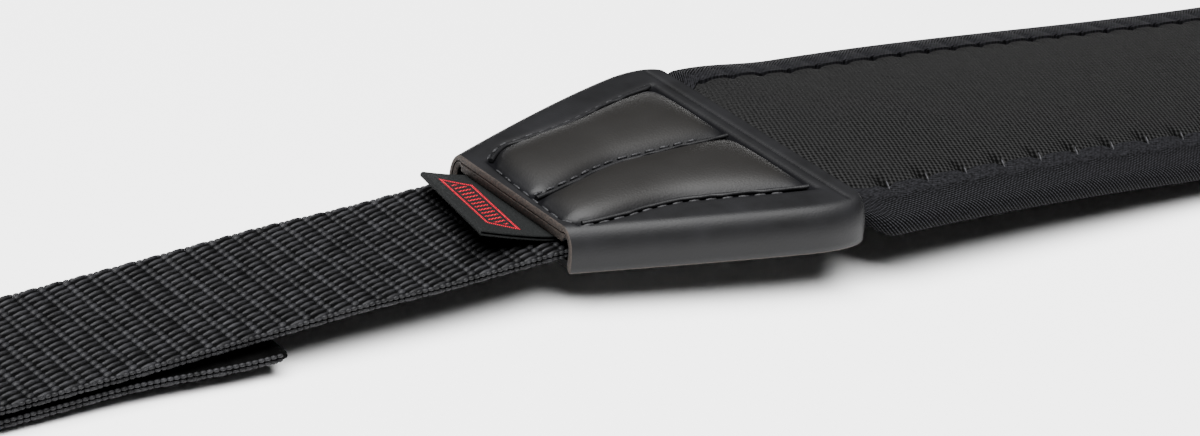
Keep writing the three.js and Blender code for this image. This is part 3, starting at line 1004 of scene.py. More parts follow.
@dataclass
class WebbingArm:
    """One arm of webbing: out of the mouth, round the eye, and back under itself to its tail."""

    side: Side
    lie: Lie
    finishes: Finishes
    strands: StrandTree
    width: float = 30.0
    thickness: float = 1.9
    start: float = 188.3
    eye_place: float = 445.1
    eye_radius: float = 5.0
    eye_ramp: float = 27.0
    tail_place: float = 272.5
    tail_bend: float = 30.0
    tail_droop: float = 0.9
    tail_shift: float = 1.9
    seat: float = 2.2
    mouth_sag: float = 0.6
    ground_half: float = 0.45
    float_spacing: float = 4.2
    float_pitch: float = 1.364
    float_columns: int = 22
    float_skew: float = 0.22
    float_size: tuple[float, float, float] = (3.4, 0.8, 1.0)
    knot_skew: float = 0.45
    knot_size: tuple[float, float, float] = (1.7, 1.2, 0.94)

    def line(self) -> np.ndarray:
        """The webbing's middle line, pointing along +X first, with a point each millimetre."""
        mid = self.thickness / 2
        x = np.linspace(self.start, self.eye_place, 260)
        rise = 2 * self.eye_radius - self.gap_under() * 1.0
        z = self.lie.webbing_ground(x) + self.seat + rise * ease(1 - (self.eye_place - x) / self.eye_ramp) + mid
        z -= self.mouth_sag * ease((x - 205) / 17) * ease((262 - x) / 22)
        upper = np.stack([x, 0 * x, z], -1)
        radius = self.eye_radius + mid
        angle = np.linspace(0, np.pi, 24)[1:-1]
        eye = np.stack(
            [
                self.eye_place + radius * np.sin(angle),
                0 * angle,
                self.thickness + self.eye_radius + radius * np.cos(angle),
            ],
            -1,
        )
        x = np.linspace(self.eye_place, self.tail_place, 180)
        loose = ease((self.tail_place + self.tail_bend - x) / self.tail_bend)
        z = self.lie.webbing_ground(x) - self.tail_droop * loose + mid
        lower = np.stack([x, self.tail_shift * loose, z], -1)
        rough = np.concatenate([upper, eye, lower])
        step = np.linalg.norm(np.diff(rough, axis=0), axis=1)
        run = np.concatenate([[0], np.cumsum(step)])
        even = np.linspace(0, run[-1], int(run[-1]) + 1)
        return np.stack([np.interp(even, run, rough[:, k]) for k in range(3)], -1)

    def gap_under(self) -> float:
        """How much of the eye's height the layer's seat already gives."""
        return self.lie.gap

    def _weave(
        self, word: str, path: np.ndarray, across: np.ndarray, length: float, face: int
    ) -> bpy.types.Object:
        """Lays the slanting floats of one face, and the short knots between their ends.

        Args:
            word: What the piece is called.
            path: The webbing's middle line.
            across: The direction across it.
            length: How far along the path the floats reach.
            face: 1 for the outer face and -1 for the inner one.

        Returns:
            The floats and knots as one piece.
        """
        parts = []
        sets = (
            (self.float_size, self.float_columns, self.float_skew, 1.8),
            (self.knot_size, self.float_columns - 1, self.knot_skew, 1.8 + self.float_spacing / 2),
        )
        for (long, wide, deep), columns, skew, start in sets:
            rows = Rows(
                count=int((length - start - long / 2) / self.float_spacing) + 1,
                spacing=self.float_spacing,
                length=long,
                width=wide,
                depth=deep,
                columns=columns,
                pitch=self.float_pitch,
                start=start,
                lift=face * (self.thickness - deep) / 2,
                stagger=0.0,
                skew=skew,
                wander=0.02,
                seed=4 + face,
            )
            parts.append(self.strands.lay(word, path, rows, across, self.finishes.yarn))
        return joined(f"webbing_{self.side.word}_{word}", parts)

    def build(self) -> bpy.types.Object:
        """Builds the ground weave and the floats on it.

        Returns:
            The ground weave, which carries the rest.
        """
        line = self.line()
        path = turned(line, self.side)
        across = np.array([0.0, float(self.side.value), 0.0])
        tangent = np.gradient(path, axis=0)
        tangent /= np.linalg.norm(tangent, axis=1)[:, None]
        normal = np.cross(tangent, across)
        normal /= np.linalg.norm(normal, axis=1)[:, None]
        half, thin = self.width / 2 - 0.45, self.ground_half
        turn = np.linspace(-np.pi / 2, np.pi / 2, 5)
        right = np.stack([half - thin + thin * np.cos(turn), thin * np.sin(turn)], -1)
        left = np.stack([-right[:, 0], -right[:, 1]], -1)
        spread = np.linspace(-half + thin, half - thin, 13)[1:-1]
        top = np.stack([spread[::-1], 0 * spread + thin], -1)
        below = np.stack([spread, 0 * spread - thin], -1)
        outline = np.concatenate([right, top, left, below])
        left_over = np.arange(len(path))[::-1]
        thick = 1 + 0.75 * ease((2.2 - left_over) / 0.8)
        thick[-1] = 1.3
        rings = (
            path[:, None, :]
            + outline[None, :, :1] * across[None, None, :]
            + outline[None, :, 1:] * normal[:, None, :] * thick[:, None, None]
        )
        ground = skin(f"webbing_{self.side.word}_ground", rings, [self.finishes.ground])
        length = float(len(path) - 1)
        outer = self._weave("floats", path, across, length, 1)
        inner = self._weave("inner_floats", path, across, length - 180, -1)
        beads = []
        for level in (-0.36, 0.36):
            beads.append(
                self.strands.lay(
                    "beads",
                    path,
                    Rows(
                        count=int(length / 1.05),
                        spacing=1.05,
                        length=1.15,
                        width=0.75,
                        depth=0.72,
                        columns=2,
                        pitch=self.width - 0.8,
                        start=0.4,
                        lift=level,
                        stagger=0.0,
                        wander=0.0,
                    ),
                    across,
                    self.finishes.yarn,
                )
            )
        edge = joined(f"webbing_{self.side.word}_selvage", beads)
        settle(ground, "webbing", f"webbing_{self.side.word}")
        for piece in (outer, inner, edge):
            settle(piece, "webbing")
        return ground


# The pad and its bindings


@dataclass
class NeckPad:
    """The foam pad with its jersey face and the two tapes that bind its edges."""

    lie: Lie
    finishes: Finishes
    strands: StrandTree
    half_length: float = 188.0
    seam_place: float = 22.3
    hem_place: float = 22.6
    seam_height: float = 5.3
    crown: float = 0.7
    nose_place: float = 29.1
    nose_height: float = 1.9
    tape_thickness: float = 0.8
    end_place: float = 173.5
    pinch: float = 6.0
    end_lift: float = 1.3
    end_lift_reach: float = 27.0
    seat: float = 2.2
    near_tick: float = 8.2
    far_tick: float = 6.2

    def stations(self) -> np.ndarray:
        """Places along the pad, a millimetre apart."""
        return np.linspace(-self.half_length, self.half_length, 471)

    def squeeze(self, x: np.ndarray) -> tuple[np.ndarray, np.ndarray, np.ndarray]:
        """How the pad narrows, thins and lifts as it enters the end pieces.

        Returns:
            The share of width, the share of height and the seat at each place.
        """
        pinch = ease(1 - (self.end_place - np.abs(x)) / self.pinch)
        inward = 222 - np.abs(x)
        narrow = (YokeShape().half_width(inward) - 1.9) / 31
        return 1 + (narrow - 1) * pinch, 1 + (3.4 / 6 - 1) * pinch, self.lie.arch(x) + self.seat * pinch

    def section(self, x: np.ndarray, outline: np.ndarray) -> np.ndarray:
        """Places an outline of y and z on every station.

        Args:
            x: The stations.
            outline: Stations by points by 2, as drawn on the pad at its full size.

        Returns:
            Stations by points by 3.
        """
        wide, high, seat = self.squeeze(x)
        y = outline[..., 0] * wide[:, None]
        z = outline[..., 1] * high[:, None] + seat[:, None]
        inside = self.end_place - np.abs(x)
        bulge = self.end_lift * ease(inside / 5) * ease((self.end_lift_reach - inside) / 20)
        z = z + bulge[:, None] * ease(y * -np.sign(x)[:, None] / self.nose_place)
        return np.stack([np.broadcast_to(x[:, None], y.shape), y, z], -1)

    def gather(self, x: np.ndarray, tick: float) -> np.ndarray:
        """How far each place is pulled in by the nearest stitch, from 0 to 1."""
        phase = np.abs((x / tick + 0.5) % 1.0 - 0.5) * tick
        return bell(phase, 1.1)

    def build(self) -> bpy.types.Object:
        """Builds the pad, both tapes and their stitches.

        Returns:
            The pad.
        """
        x = self.stations()
        near_pull, far_pull = self.gather(x, self.near_tick), self.gather(x, self.far_tick)
        spread = self.seam_place * np.sin(np.linspace(-1, 1, 61) * np.pi / 2)
        top = self.seam_height + self.crown * (1 - (spread / self.seam_place) ** 2)
        z = np.broadcast_to(top, (len(x), len(spread))).copy()
        near, far = spread + self.seam_place, self.seam_place - spread
        z -= 0.65 * bell(near, 1.5)[None, :] * (0.5 + 0.5 * near_pull[:, None])
        z -= 0.45 * bell(near, 3.6)[None, :] * near_pull[:, None]
        z -= 0.7 * bell(far, 1.4)[None, :] * (0.6 + 0.4 * far_pull[:, None])
        z -= 0.35 * bell(far, 3.4)[None, :] * far_pull[:, None]
        face = np.stack([np.broadcast_to(spread, z.shape), z], -1)
        under = [
            (22.9, 4.0), (25.0, 3.7), (28.6, 2.75), (29.6, 2.3), (29.85, 1.9), (29.6, 1.45),
            (28.6, 1.15), (25.0, 1.1), (23.0, 1.1), (22.3, 0.0), (11.0, 0.0), (0.0, 0.0),
        ]
        wrap = under + [(-y, h) for y, h in reversed(under[:-1])]
        rest = np.broadcast_to(np.array(wrap), (len(x), len(wrap), 2))
        rings = self.section(x, np.concatenate([face, rest], 1))
        pad = skin("neck_pad_jersey", rings, [self.finishes.jersey])
        settle(pad, "neoprene", "neck_pad")
        self._binding(x, -1, near_pull, "near")
        self._binding(x, 1, far_pull, "far")
        return pad

    def _binding(self, x: np.ndarray, hand: int, pull: np.ndarray, word: str) -> None:
        """Builds one edge tape and its stitches.

        Args:
            x: The stations.
            hand: 1 for the far edge and -1 for the near one.
            pull: How far each station is pulled in by its nearest stitch.
            word: The edge's name.
        """
        radius = self.nose_height
        hem = self.hem_place + 0.5 * pull - 0.35
        slope = math.atan2(self.seam_height - 2 * radius, self.nose_place - self.hem_place)
        angle = np.linspace(-np.pi / 2, np.pi / 2 - slope, 15)
        arc = np.stack([self.nose_place + radius * np.cos(angle), radius + radius * np.sin(angle)], -1)
        share = np.linspace(0, 1, 15)[1:]
        loops = []
        for k in range(len(x)):
            end = np.array([hem[k], self.seam_height - 0.1 - 0.4 * pull[k]])
            flat = arc[-1] + (end - arc[-1]) * share[:, None]
            swell = 0.22 * np.sin(np.pi * share) + 0.14 * share**3 * (1 - pull[k])
            flat[:, 1] += swell
            below = np.stack([np.linspace(self.hem_place, self.nose_place, 8)[:-1], np.zeros(7)], -1)
            loops.append(np.concatenate([below, arc, flat]))
        outer = np.array(loops)
        tangent = np.gradient(outer, axis=1)
        tangent /= np.linalg.norm(tangent, axis=2)[..., None]
        inward = np.stack([-tangent[..., 1], tangent[..., 0]], -1)
        inner = outer + inward * self.tape_thickness
        run = np.concatenate([[0], np.cumsum(np.linalg.norm(np.diff(outer[0], axis=0), axis=1))])
        cloth = np.stack(np.meshgrid(x, run, indexing="ij"), -1)
        mirror = np.array([hand, 1.0])
        tape = shell(
            f"edge_binding_{word}_tape",
            self.section(x, outer * mirror),
            self.section(x, inner * mirror),
            [self.finishes.tape],
            cloth,
        )
        settle(tape, "binding", f"edge_binding_{word}")
        tick = self.near_tick if hand < 0 else self.far_tick
        places = np.arange(-int(168 / tick), int(168 / tick) + 1) * tick
        seam = np.linspace(places[0] - 1, places[-1] + 1, 400)
        z = self.lie.arch(seam) + self.seam_height - (0.25 if hand < 0 else 0.45)
        path = np.stack([seam, 0 * seam + hand * (self.hem_place + 0.25), z], -1)
        run = np.concatenate([[0], np.cumsum(np.linalg.norm(np.diff(path, axis=0), axis=1))])
        spacing = run[-1] / (len(places) - 1 + 2 / tick)
        rows = Rows(len(places), spacing, 0.36, 2.3, 0.45, start=1.0, wander=0.0)
        lean = np.array([0.0, 0.72, 0.69]) if hand < 0 else np.array([0.0, 0.72, -0.69])
        # The near ticks take the thread with a painted glint; the far ones take the tape's finish.
        finish = self.finishes.thread_painted_glint if hand < 0 else self.finishes.tape
        ticks = self.strands.lay(f"seam_stitches_{word}", path, rows, lean, finish)
        settle(ticks, "binding")


# The end pieces


@dataclass(frozen=True)
class YokeShape:
    """The leatherette end piece's outline and relief, by the distance inward from its mouth."""

    place: float = 222.0
    length: float = 48.5
    mouth_half: float = 17.0
    wide_half: float = 31.4
    corner: float = 2.6
    corner_reach: float = 10.0
    mouth_roof: float = 5.6
    wide_roof: float = 5.9
    cover: float = 1.6
    lip_extra: float = 1.2
    lip_reach: float = 4.5
    shoulder: float = 3.0
    shoulder_drop: float = 4.6
    mouth_border: float = 3.2
    wide_border: float = 9.0
    groove: float = 0.6
    groove_width: float = 0.65
    puff: float = 2.3
    fullness: float = 1.6
    puff_corner: float = 4.0
    puff_steepness: float = 0.4
    puff_start: float = 2.7
    puff_end: float = 43.0
    strip_line: float = 45.8

    def half_width(self, inward: np.ndarray) -> np.ndarray:
        """Half of the end piece's width at a distance from the mouth."""
        share = np.clip(inward / self.length, 0, 1)
        t = 1.5 - np.sqrt(2.25 - 2 * share)
        middle = self.mouth_half + 0.93 * (self.wide_half - self.mouth_half)
        plain = (1 - t) ** 2 * self.mouth_half + 2 * t * (1 - t) * middle + t**2 * self.wide_half
        late = np.clip((inward - self.length + self.corner_reach) / self.corner_reach, 0, 1)
        return plain - self.corner * (1 - np.sqrt(1 - 0.98 * late**2)) / (1 - math.sqrt(0.02))

    def top(self, inward: np.ndarray) -> np.ndarray:
        """Height of its flat top over the ground."""
        share = np.clip(inward / self.length, 0, 1)
        return self.mouth_roof + (self.wide_roof - self.mouth_roof) * share + self.cover

    def groove_place(self, inward: np.ndarray) -> np.ndarray:
        """Distance of the side grooves from the middle line."""
        border = self.mouth_border + (self.wide_border - self.mouth_border) * ease(inward / 24.25)
        share = np.clip(inward / self.length, 0, 1)
        t = 1.5 - np.sqrt(2.25 - 2 * share)
        middle = self.mouth_half + 0.93 * (self.wide_half - self.mouth_half)
        plain = (1 - t) ** 2 * self.mouth_half + 2 * t * (1 - t) * middle + t**2 * self.wide_half
        return plain - np.maximum(border, self.shoulder)

    def drift(self, inward: np.ndarray, share: np.ndarray) -> tuple[np.ndarray, np.ndarray]:
        """How far the sewn panel lies off its middle line beside the mouth.

        Args:
            inward: Distances from the mouth.
            share: Place across: -1 and 1 at the side grooves, -2 and 2 at the flat top's ends.

        Returns:
            The shift across and the shift inward, in mm.
        """
        panel = np.clip(share, -1, 1)
        fade = 2 - np.clip(np.abs(share), 1, 2)
        across = (4.2 - 1.0 * panel - 3.2 * panel**2) * (1 - ease(inward / 22))
        across = (across + 3.0 * np.minimum(panel, 0) ** 2 * (1 - ease(inward / 9))) * fade
        near_mouth = ease(inward / self.puff_start) * (1 - ease((inward - self.puff_start) / 10))
        corner = 1 - ease((panel - 0.65) / 0.35)
        along = (-1.2 - 0.8 * panel + 0.5 * panel**2) * fade * near_mouth * corner
        return across, along


@dataclass
class Yoke:
    """One end piece: a padded cover over two channels, and the panel that closes it below."""

    side: Side
    lie: Lie
    finishes: Finishes
    strands: StrandTree
    shape: YokeShape = field(default_factory=YokeShape)
    panel_rows: int = 41
    panel_columns: int = 45
    stitch_spacing: float = 2.8

    def rise(self) -> np.ndarray:
        """Swells the two padded channels.

        Returns:
            Their height over the grooves, as panel rows by panel columns.
        """
        s = self.shape
        inward = np.linspace(s.puff_start, s.puff_end, self.panel_rows)
        share = np.linspace(-1, 1, self.panel_columns)
        y = s.groove_place(inward)[:, None] * share[None, :]
        flat = np.stack([np.broadcast_to(inward[:, None], y.shape), y, 0 * y], -1)
        sewn = np.zeros(y.shape, bool)
        sewn[[0, -1], :] = True
        sewn[:, [0, self.panel_columns // 2, -1]] = True
        height = swell(flat, sewn, growth=0.0)
        full = s.puff + s.groove
        share = height / np.percentile(height, 99)
        across, reach = np.abs(y), s.groove_place(inward)[:, None]
        along = np.broadcast_to(inward[:, None], y.shape)
        off_y = np.abs(across - reach / 2) - (reach / 2 - s.puff_corner)
        off_x = np.abs(along - (s.puff_start + s.puff_end) / 2)
        off_x = off_x - ((s.puff_end - s.puff_start) / 2 - s.puff_corner)
        outside = np.hypot(np.maximum(off_y, 0), np.maximum(off_x, 0))
        inside = s.puff_corner - outside - np.minimum(np.maximum(off_y, off_x), 0)
        share = np.minimum(share, s.puff_steepness * np.maximum(inside, 0))
        return full * (1 - np.exp(-s.fullness * share)) / (1 - math.exp(-s.fullness))

    def columns(self) -> tuple[np.ndarray, np.ndarray]:
        """The cover's columns from its middle out.

        Returns:
            Each column's kind (0 on the channels, 1 on the border, 2 round the shoulder, 3 down
            the leg) and its share of the way across that kind.
        """
        parts = [
            (0, np.linspace(0, 1, 55)),
            (1, np.array([0.06, 0.13, 0.22, 0.34, 0.5, 0.7, 1.0])),
            (2, np.linspace(0, 1, 12)[1:]),
            (3, np.array([0.3, 0.65, 1.0])),
        ]
        kinds = np.concatenate([np.full(len(shares), kind) for kind, shares in parts])
        return kinds, np.concatenate([shares for _, shares in parts])

    def base(self, inward: np.ndarray) -> np.ndarray:
        """The cover's smooth outer face, without its relief.

        Args:
            inward: The rows' distances from the mouth.

        Returns:
            Rows by columns by 3, from one leg across to the other.
        """
        s = self.shape
        kinds, shares = self.columns()
        half = s.half_width(inward)[:, None]
        top = s.top(inward)[:, None]
        groove = np.minimum(s.groove_place(inward)[:, None], half - s.shoulder - 0.4)
        flat_end = half - s.shoulder
        turn = shares * np.pi / 2
        y = np.where(kinds == 0, groove * shares, groove + (flat_end - groove) * shares)
        y = np.where(kinds == 2, flat_end + s.shoulder * np.sin(turn), y)
        y = np.where(kinds == 3, half, y)
        z = np.where(kinds == 2, top - s.shoulder_drop * (1 - np.cos(turn)), top + 0 * y)
        foot = top - s.shoulder_drop
        z = np.where(kinds == 3, foot + (0.35 - foot) * shares, z)
        z = z + self.lie.arch(s.place - inward)[:, None]
        x = np.broadcast_to((s.place - inward)[:, None], y.shape)
        right = np.stack([x, y, z], -1)
        left = right[:, :0:-1] * np.array([1.0, -1.0, 1.0])
        whole = np.concatenate([left, right], 1)
        place = np.where(kinds == 0, shares, np.where(kinds == 1, 1 + shares, 2.0))
        across, along = s.drift(inward[:, None], np.concatenate([-place[:0:-1], place])[None, :])
        return whole + np.stack([-along, across, 0 * along], -1)

    def relief(self, inward: np.ndarray, height: np.ndarray, y: np.ndarray) -> np.ndarray:
        """How far each point of the cover stands off its smooth face."""
        s = self.shape
        kinds, shares = self.columns()
        kinds = np.concatenate([kinds[:0:-1], kinds])
        signed = np.concatenate([-shares[:0:-1], shares])
        along = (inward - s.puff_start) / (s.puff_end - s.puff_start)
        rows = spline_weights(height.shape[0], along)
        columns = spline_weights(height.shape[1], (np.clip(signed, -1, 1) + 1) / 2)
        puffs = rows @ height @ columns.T - s.groove
        off = np.maximum(s.puff_start - inward, inward - s.puff_end)[:, None]
        outside = np.where(off > 0, -s.groove * bell(off, self.shape.groove_width), 0.0)
        inside = np.where(off > 0, outside, puffs)
        first, last = np.flatnonzero(kinds == 0)[[0, -1]]
        beyond = np.maximum(y - y[:, last : last + 1], y[:, first : first + 1] - y)
        beside = np.maximum(beyond, np.maximum(off, 0))
        border = -s.groove * bell(beside, self.shape.groove_width) * (off < 1.5)
        made = np.where(kinds[None, :] == 0, inside, np.where(kinds[None, :] == 1, border, 0.0))
        made = made - 0.25 * bell(inward - s.strip_line, 0.3)[:, None] * (kinds < 2)[None, :]
        return made

    def build(self) -> bpy.types.Object:
        """Builds the cover, its seams and the back panel.

        Returns:
            The cover.
        """
        s = self.shape
        lip = np.array([0, 0.25, 0.6, 1.0, 1.4, 1.8, 2.1, 2.4])
        strip = np.array([43.25, 43.5, 43.9, 44.4, 44.9, 45.3, 45.55, 45.8, 46.05, 46.3, 46.8, 47.3, 47.8, 48.2, 48.5])
        inward = np.concatenate([lip, np.linspace(s.puff_start, s.puff_end, 81), strip])
        height = self.rise()
        base = self.base(inward)
        normal = -face_normals(base)
        normal *= np.sign(normal[:, base.shape[1] // 2, 2:3])[:, None]
        relief = self.relief(inward, height, base[..., 1])
        outer = base + normal * relief[..., None]
        kinds, shares = self.columns()
        roof = np.where(kinds < 2, 1.0, np.where(kinds == 2, np.clip(1 - 2 * shares, 0, 1), 0.0))
        roof = np.concatenate([roof[:0:-1], roof])
        wall = s.cover + s.lip_extra * (1 - ease(inward / s.lip_reach))[:, None] * roof[None, :]
        inner = base - normal * wall[..., None]
        # The relief goes to the leatherette as the "cloth" attribute, which paints the highlight on the padding and
        # the shade in the grooves.
        cover = shell(
            f"yoke_cover_{self.side.word}_skin",
            turned(outer, self.side),
            turned(inner, self.side),
            [self.finishes.leatherette, self.finishes.edge],
            cloth=np.stack([relief, 0 * relief], -1),
            rim=((0.1, 0.2), (0.36, 0.26), (0.43, -0.1), (0.5, 0.24), (0.9, 0.18)),
        )
        settle(cover, "leatherette", f"yoke_cover_{self.side.word}")
        self._seams()
        self._back()
        return cover

    def _surface_line(self, inward: np.ndarray, y: np.ndarray, sink: float) -> np.ndarray:
        """A line on the cover's flat top.

        Args:
            inward: Distances from the mouth.
            y: Distances from the middle line.
            sink: How far the line lies under the flat top.

        Returns:
            Points of the line, turned to this side.
        """
        across, along = self.shape.drift(inward, y / self.shape.groove_place(inward))
        x, y = self.shape.place - inward - along, y + across
        z = self.lie.arch(x) + self.shape.top(inward) - sink
        return turned(np.stack([x, y, z], -1), self.side)

    def _seams(self) -> None:
        """Adds the folded ridges beside the grooves, and the stitches."""
        s = self.shape
        inward = np.linspace(s.puff_start + 0.4, s.puff_end - 0.6, 160)
        groove = s.groove_place(inward)
        rng = np.random.default_rng(7)
        wobble = np.interp(inward, np.linspace(0, 48, 30), rng.normal(0, 0.06, 30))
        swing = ease((inward - 14) / 16)
        ridges, stitches = [], []
        word = self.side.word
        across = np.array([0.0, float(self.side.value), 0.0])
        lines = (
            (0 * groove + 0.05, 0 * groove - 0.5),
            (groove - 0.15, groove + 0.62),
            (-groove + 0.15, -groove - 0.62),
        )
        for k, (fold, thread) in enumerate(lines):
            wide = 0.42 + 0.1 * np.sin(inward * 0.9 + k) * swing + wobble
            path = self._surface_line(inward, fold + wobble, 0.08 - 0.12 * swing)
            ridges.append(sweep(f"ridge_{k}", path, np.abs(wide), 0.34, [self.finishes.leatherette]))
            path = self._surface_line(inward, thread + wobble, -0.4 if k == 0 else 0.12)
            count = int(38 / self.stitch_spacing)
            rows = Rows(count, self.stitch_spacing, 2.1, 0.55, 0.5, start=0.6, lift=0.1, wander=0.03, seed=11 + k)
            stitches.append(self.strands.lay("stitches", path, rows, across, self.finishes.thread))
        y = np.linspace(-13.5, 13.5, 60) * self.side.value
        path = self._surface_line(np.full(60, s.puff_start - 0.35), y, 0.2)
        rows = Rows(8, self.stitch_spacing, 2.1, 0.5, 0.45, start=1.2, lift=0.05, wander=0.03, seed=17)
        ahead = np.array([-1.0, 0.0, 0.0])
        stitches.append(self.strands.lay("stitches", path, rows, ahead, self.finishes.thread))
        settle(joined(f"yoke_ridges_{word}", ridges), "leatherette")
        settle(joined(f"yoke_stitches_{word}", stitches), "leatherette")

    def _back(self) -> None:
        """Builds the panel underneath, with its softened edges."""
        s = self.shape
        rings = []
        for place in np.linspace(174.5, 221.0, 48):
            half = float(s.half_width(np.array(s.place - place))) - 1.9
            thick = 1.9 - 0.7 * float(ease((place - 205) / 16))
            turn = np.linspace(-np.pi / 2, np.pi / 2, 7)
            right = np.stack([half - 0.9 + 0.9 * np.cos(turn), thick / 2 * (1 + np.sin(turn))], -1)
            spread = np.linspace(-half + 0.9, half - 0.9, 15)[1:-1]
            top = np.stack([spread[::-1], 0 * spread + thick], -1)
            left = np.stack([-right[::-1, 0], right[::-1, 1]], -1)
            below = np.stack([spread, 0 * spread], -1)
            ring = np.concatenate([right, top, left, below])
            lift = float(self.lie.arch(np.array(place)))
            rings.append(np.concatenate([np.full((len(ring), 1), place), ring + [0, lift]], 1))
        name = f"yoke_back_{self.side.word}"
        back = skin(f"{name}_panel", turned(np.array(rings), self.side), [self.finishes.leatherette])
        settle(back, "leatherette", name)
        place = np.linspace(216.5, 178.0, 80)
        z = self.lie.arch(place) + 0.02
        below = np.array([0.0, -float(self.side.value), 0.0])
        stitches = []
        for hand in (-1, 1):
            y = hand * (s.half_width(s.place - place) - 3.6)
            path = turned(np.stack([place, y, z], -1), self.side)
            rows = Rows(13, self.stitch_spacing, 2.1, 0.5, 0.4, start=1.2, wander=0.02, seed=23)
            stitches.append(self.strands.lay("stitches", path, rows, below, self.finishes.thread))
        settle(joined(f"{name}_stitches", stitches), "leatherette")


# The label and the keepers


@dataclass
class SideLabel:
    """The folded ribbon under the left mouth's lip."""

    lie: Lie
    finishes: Finishes
    near: float = 11.6
    far: float = -12.8
    near_end: tuple[float, float] = (235.6, 14.0)
    far_end: tuple[float, float] = (230.2, 12.4)
    mouth: float = 222.0
    mouth_height: float = 10.3
    tuck: float = 8.0
    fold: float = 0.3
    ribbon: float = 0.3

    def _middle(self, out: np.ndarray, share: np.ndarray) -> np.ndarray:
        """A point of the plane between the ribbon's two layers.

        Args:
            out: Way out from the lip (0) to the fold (1), below 0 inside the mouth.
            share: Way across from the far side (0) to the near one (1).

        Returns:
            Out by share by 3.
        """
        y = (self.far + (self.near - self.far) * share)[None, :]
        end_x = self.far_end[0] + (self.near_end[0] - self.far_end[0]) * share[None, :]
        end_z = self.far_end[1] + (self.near_end[1] - self.far_end[1]) * share[None, :]
        beyond = np.clip(out, 0, None)[:, None]
        tucked = np.clip(out, None, 0)[:, None] * self.tuck
        x = self.mouth + (end_x - self.mouth) * beyond + tucked
        rest = self.mouth_height + 0.01 * np.abs(tucked)
        z = rest + (end_z - self.mouth_height) * beyond**1.15
        return np.stack(np.broadcast_arrays(x, y, z), -1)

    def build(self) -> bpy.types.Object:
        """Builds the ribbon.

        Returns:
            The label.
        """
        share = np.linspace(0, 1, 25)
        inside, outside = np.linspace(-1, 0, 9)[:-1], np.linspace(0, 1, 22)
        out = np.concatenate([inside, outside])
        middle = self._middle(out, share)
        normal = face_normals(middle)
        normal *= np.sign(normal[..., 2:3])
        along = np.gradient(middle, axis=0)[-1]
        along /= np.linalg.norm(along, axis=-1)[:, None]
        run = np.concatenate([np.zeros((1, 25)), np.cumsum(np.linalg.norm(np.diff(middle, axis=0), axis=-1), 0)])
        to_fold = run[-1] - run
        grids = []
        for offset in (self.ribbon / 2, -self.ribbon / 2):
            upper = middle + normal * (self.fold + offset)
            lower = (middle - normal * (self.fold + offset))[::-1]
            bend = [
                middle[-1] + along * (self.fold + offset) * math.sin(a) + normal[-1] * (self.fold + offset) * math.cos(a)
                for a in np.linspace(0, math.pi, 9)[1:-1]
            ]
            grids.append(np.concatenate([upper, np.array(bend), lower]))
        turn = np.linspace(0, -1, 9)[1:-1, None] + 0 * to_fold[:1]
        places = np.concatenate([to_fold, turn, -1 - to_fold[::-1]])
        across = np.broadcast_to(share * (self.near - self.far), places.shape)
        label = shell(
            "side_label_ribbon",
            turned(grids[0], Side.LEFT),
            turned(grids[1], Side.LEFT),
            [self.finishes.ribbon],
            np.stack([places, across], -1),
            rim=((0.5, 0.08),),
        )
        settle(label, "label", "side_label")
        return label


@dataclass
class Keeper:
    """The moulded loop that holds an arm's two layers together."""

    side: Side
    lie: Lie
    finishes: Finishes
    inner_half: float = 15.3
    low: float = 1.6
    high: float = 6.3
    wall: float = 1.6
    length: float = 12.0
    corner: float = 1.2

    def build(self) -> bpy.types.Object:
        """Builds the loop.

        Returns:
            The keeper.
        """
        middle = self.wall / 2
        half, low, high = self.inner_half + middle, self.low - middle, self.high + middle
        radius = self.corner + 0.4
        centres = [(half - radius, low + radius), (half - radius, high - radius),
                   (-half + radius, high - radius), (-half + radius, low + radius)]
        angles = [(-90, 0), (0, 90), (90, 180), (180, 270)]
        loop = []
        for (cy, cz), (first, last) in zip(centres, angles):
            for a in np.radians(np.linspace(first, last, 9)):
                loop.append((cy + radius * math.cos(a), cz + radius * math.sin(a), math.cos(a), math.sin(a)))
        loop = np.array(loop)
        bevel = 0.5
        half_long, half_wall = self.length / 2, middle
        profile = []
        for sx, sz, first in ((1, 1, 0), (-1, 1, 90), (-1, -1, 180), (1, -1, 270)):
            for a in np.radians(np.linspace(first, first + 90, 5)):
                profile.append((sx * (half_long - bevel) + bevel * math.cos(a), sz * (half_wall - bevel) + bevel * math.sin(a)))
        profile = np.array(profile)
        rings = np.zeros((len(loop), len(profile), 3))
        rings[..., 0] = self.lie.keeper_place + profile[None, :, 0]
        rings[..., 1] = loop[:, None, 0] + loop[:, None, 2] * profile[None, :, 1]
        rings[..., 2] = loop[:, None, 1] + loop[:, None, 3] * profile[None, :, 1]
        keeper = skin(f"keeper_{self.side.word}_loop", turned(rings, self.side), [self.finishes.acetal], looped=True)
        settle(keeper, "keeper", f"keeper_{self.side.word}")
        return keeper


# Floor, light and camera


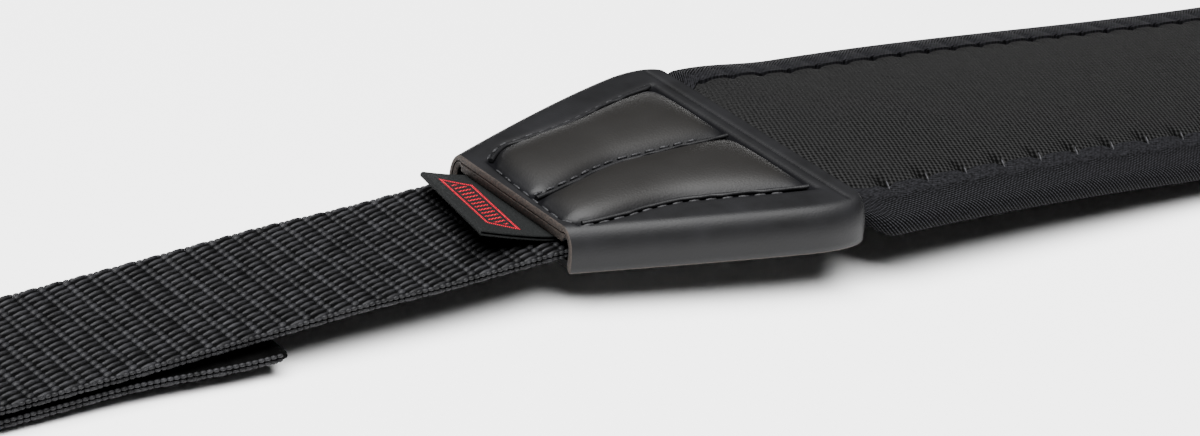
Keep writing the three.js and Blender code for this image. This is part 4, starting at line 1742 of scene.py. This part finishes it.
@dataclass(frozen=True)
class Studio:
    """A pale floor, soft lights and the camera."""

    eye: tuple[float, float, float] = (-562.08, -454.21, 274.27)
    right: tuple[float, float, float] = (0.80830, -0.58106, 0.09499)
    up: tuple[float, float, float] = (0.17746, 0.39427, 0.90170)
    back: tuple[float, float, float] = (-0.56139, -0.71198, 0.42181)
    lens: float = 119.85

    def build(self) -> None:
        """Builds all three."""
        camera = bpy.data.objects.new("camera", bpy.data.cameras.new("camera"))
        bpy.context.scene.collection.objects.link(camera)
        camera.data.lens = self.lens
        camera.data.sensor_width = 36.0
        camera.data.clip_start = 0.01
        axes = [Vector(v).normalized() for v in (self.right, self.up, self.back)]
        turn = Matrix(axes).transposed().to_4x4()
        camera.matrix_world = Matrix.Translation(Vector(self.eye) * MM) @ turn
        bpy.context.scene.camera = camera
        mesh = bpy.data.meshes.new("floor")
        mesh.from_pydata([(-9, -9, 0), (9, -9, 0), (9, 9, 0), (-9, 9, 0)], [], [(0, 1, 2, 3)])
        tree, shader, paint = new_material("matt_white_board", 0.9, 1.45)
        shader.inputs["Base Color"].default_value = linear("#f4f4f4")
        mesh.materials.append(paint)
        new_object("floor", mesh)
        self._light("top_panel", (-0.42, -0.2, 1.6), (-0.2, 0, 0), 1.8, 190)
        world = bpy.data.worlds.new("studio")
        world.use_nodes = True
        world.node_tree.nodes["Background"].inputs["Color"].default_value = (1, 1, 1, 1)
        world.node_tree.nodes["Background"].inputs["Strength"].default_value = 0.06
        bpy.context.scene.world = world

    def _light(self, name: str, place: tuple, aim: tuple, size: float, watts: float) -> None:
        """Adds one square soft light that points at a place."""
        lamp = bpy.data.lights.new(name, "AREA")
        lamp.size = size
        lamp.energy = watts
        light = bpy.data.objects.new(name, lamp)
        light.location = place
        light.rotation_euler = (Vector(aim) - Vector(place)).to_track_quat("-Z", "Y").to_euler()
        bpy.context.scene.collection.objects.link(light)


def main() -> None:
    """Builds and dresses the strap."""
    lie = Lie()
    finishes = Finishes()
    strands = StrandTree()
    Studio().build()
    for side in Side:
        Yoke(side, lie, finishes, strands).build()
    NeckPad(lie, finishes, strands).build()
    for side in Side:
        Keeper(side, lie, finishes).build()
        WebbingArm(side, lie, finishes, strands).build()
    SideLabel(lie, finishes).build()


if __name__ == "__main__":
    logging.basicConfig(level=logging.INFO, format="%(name)s: %(message)s")
    main()
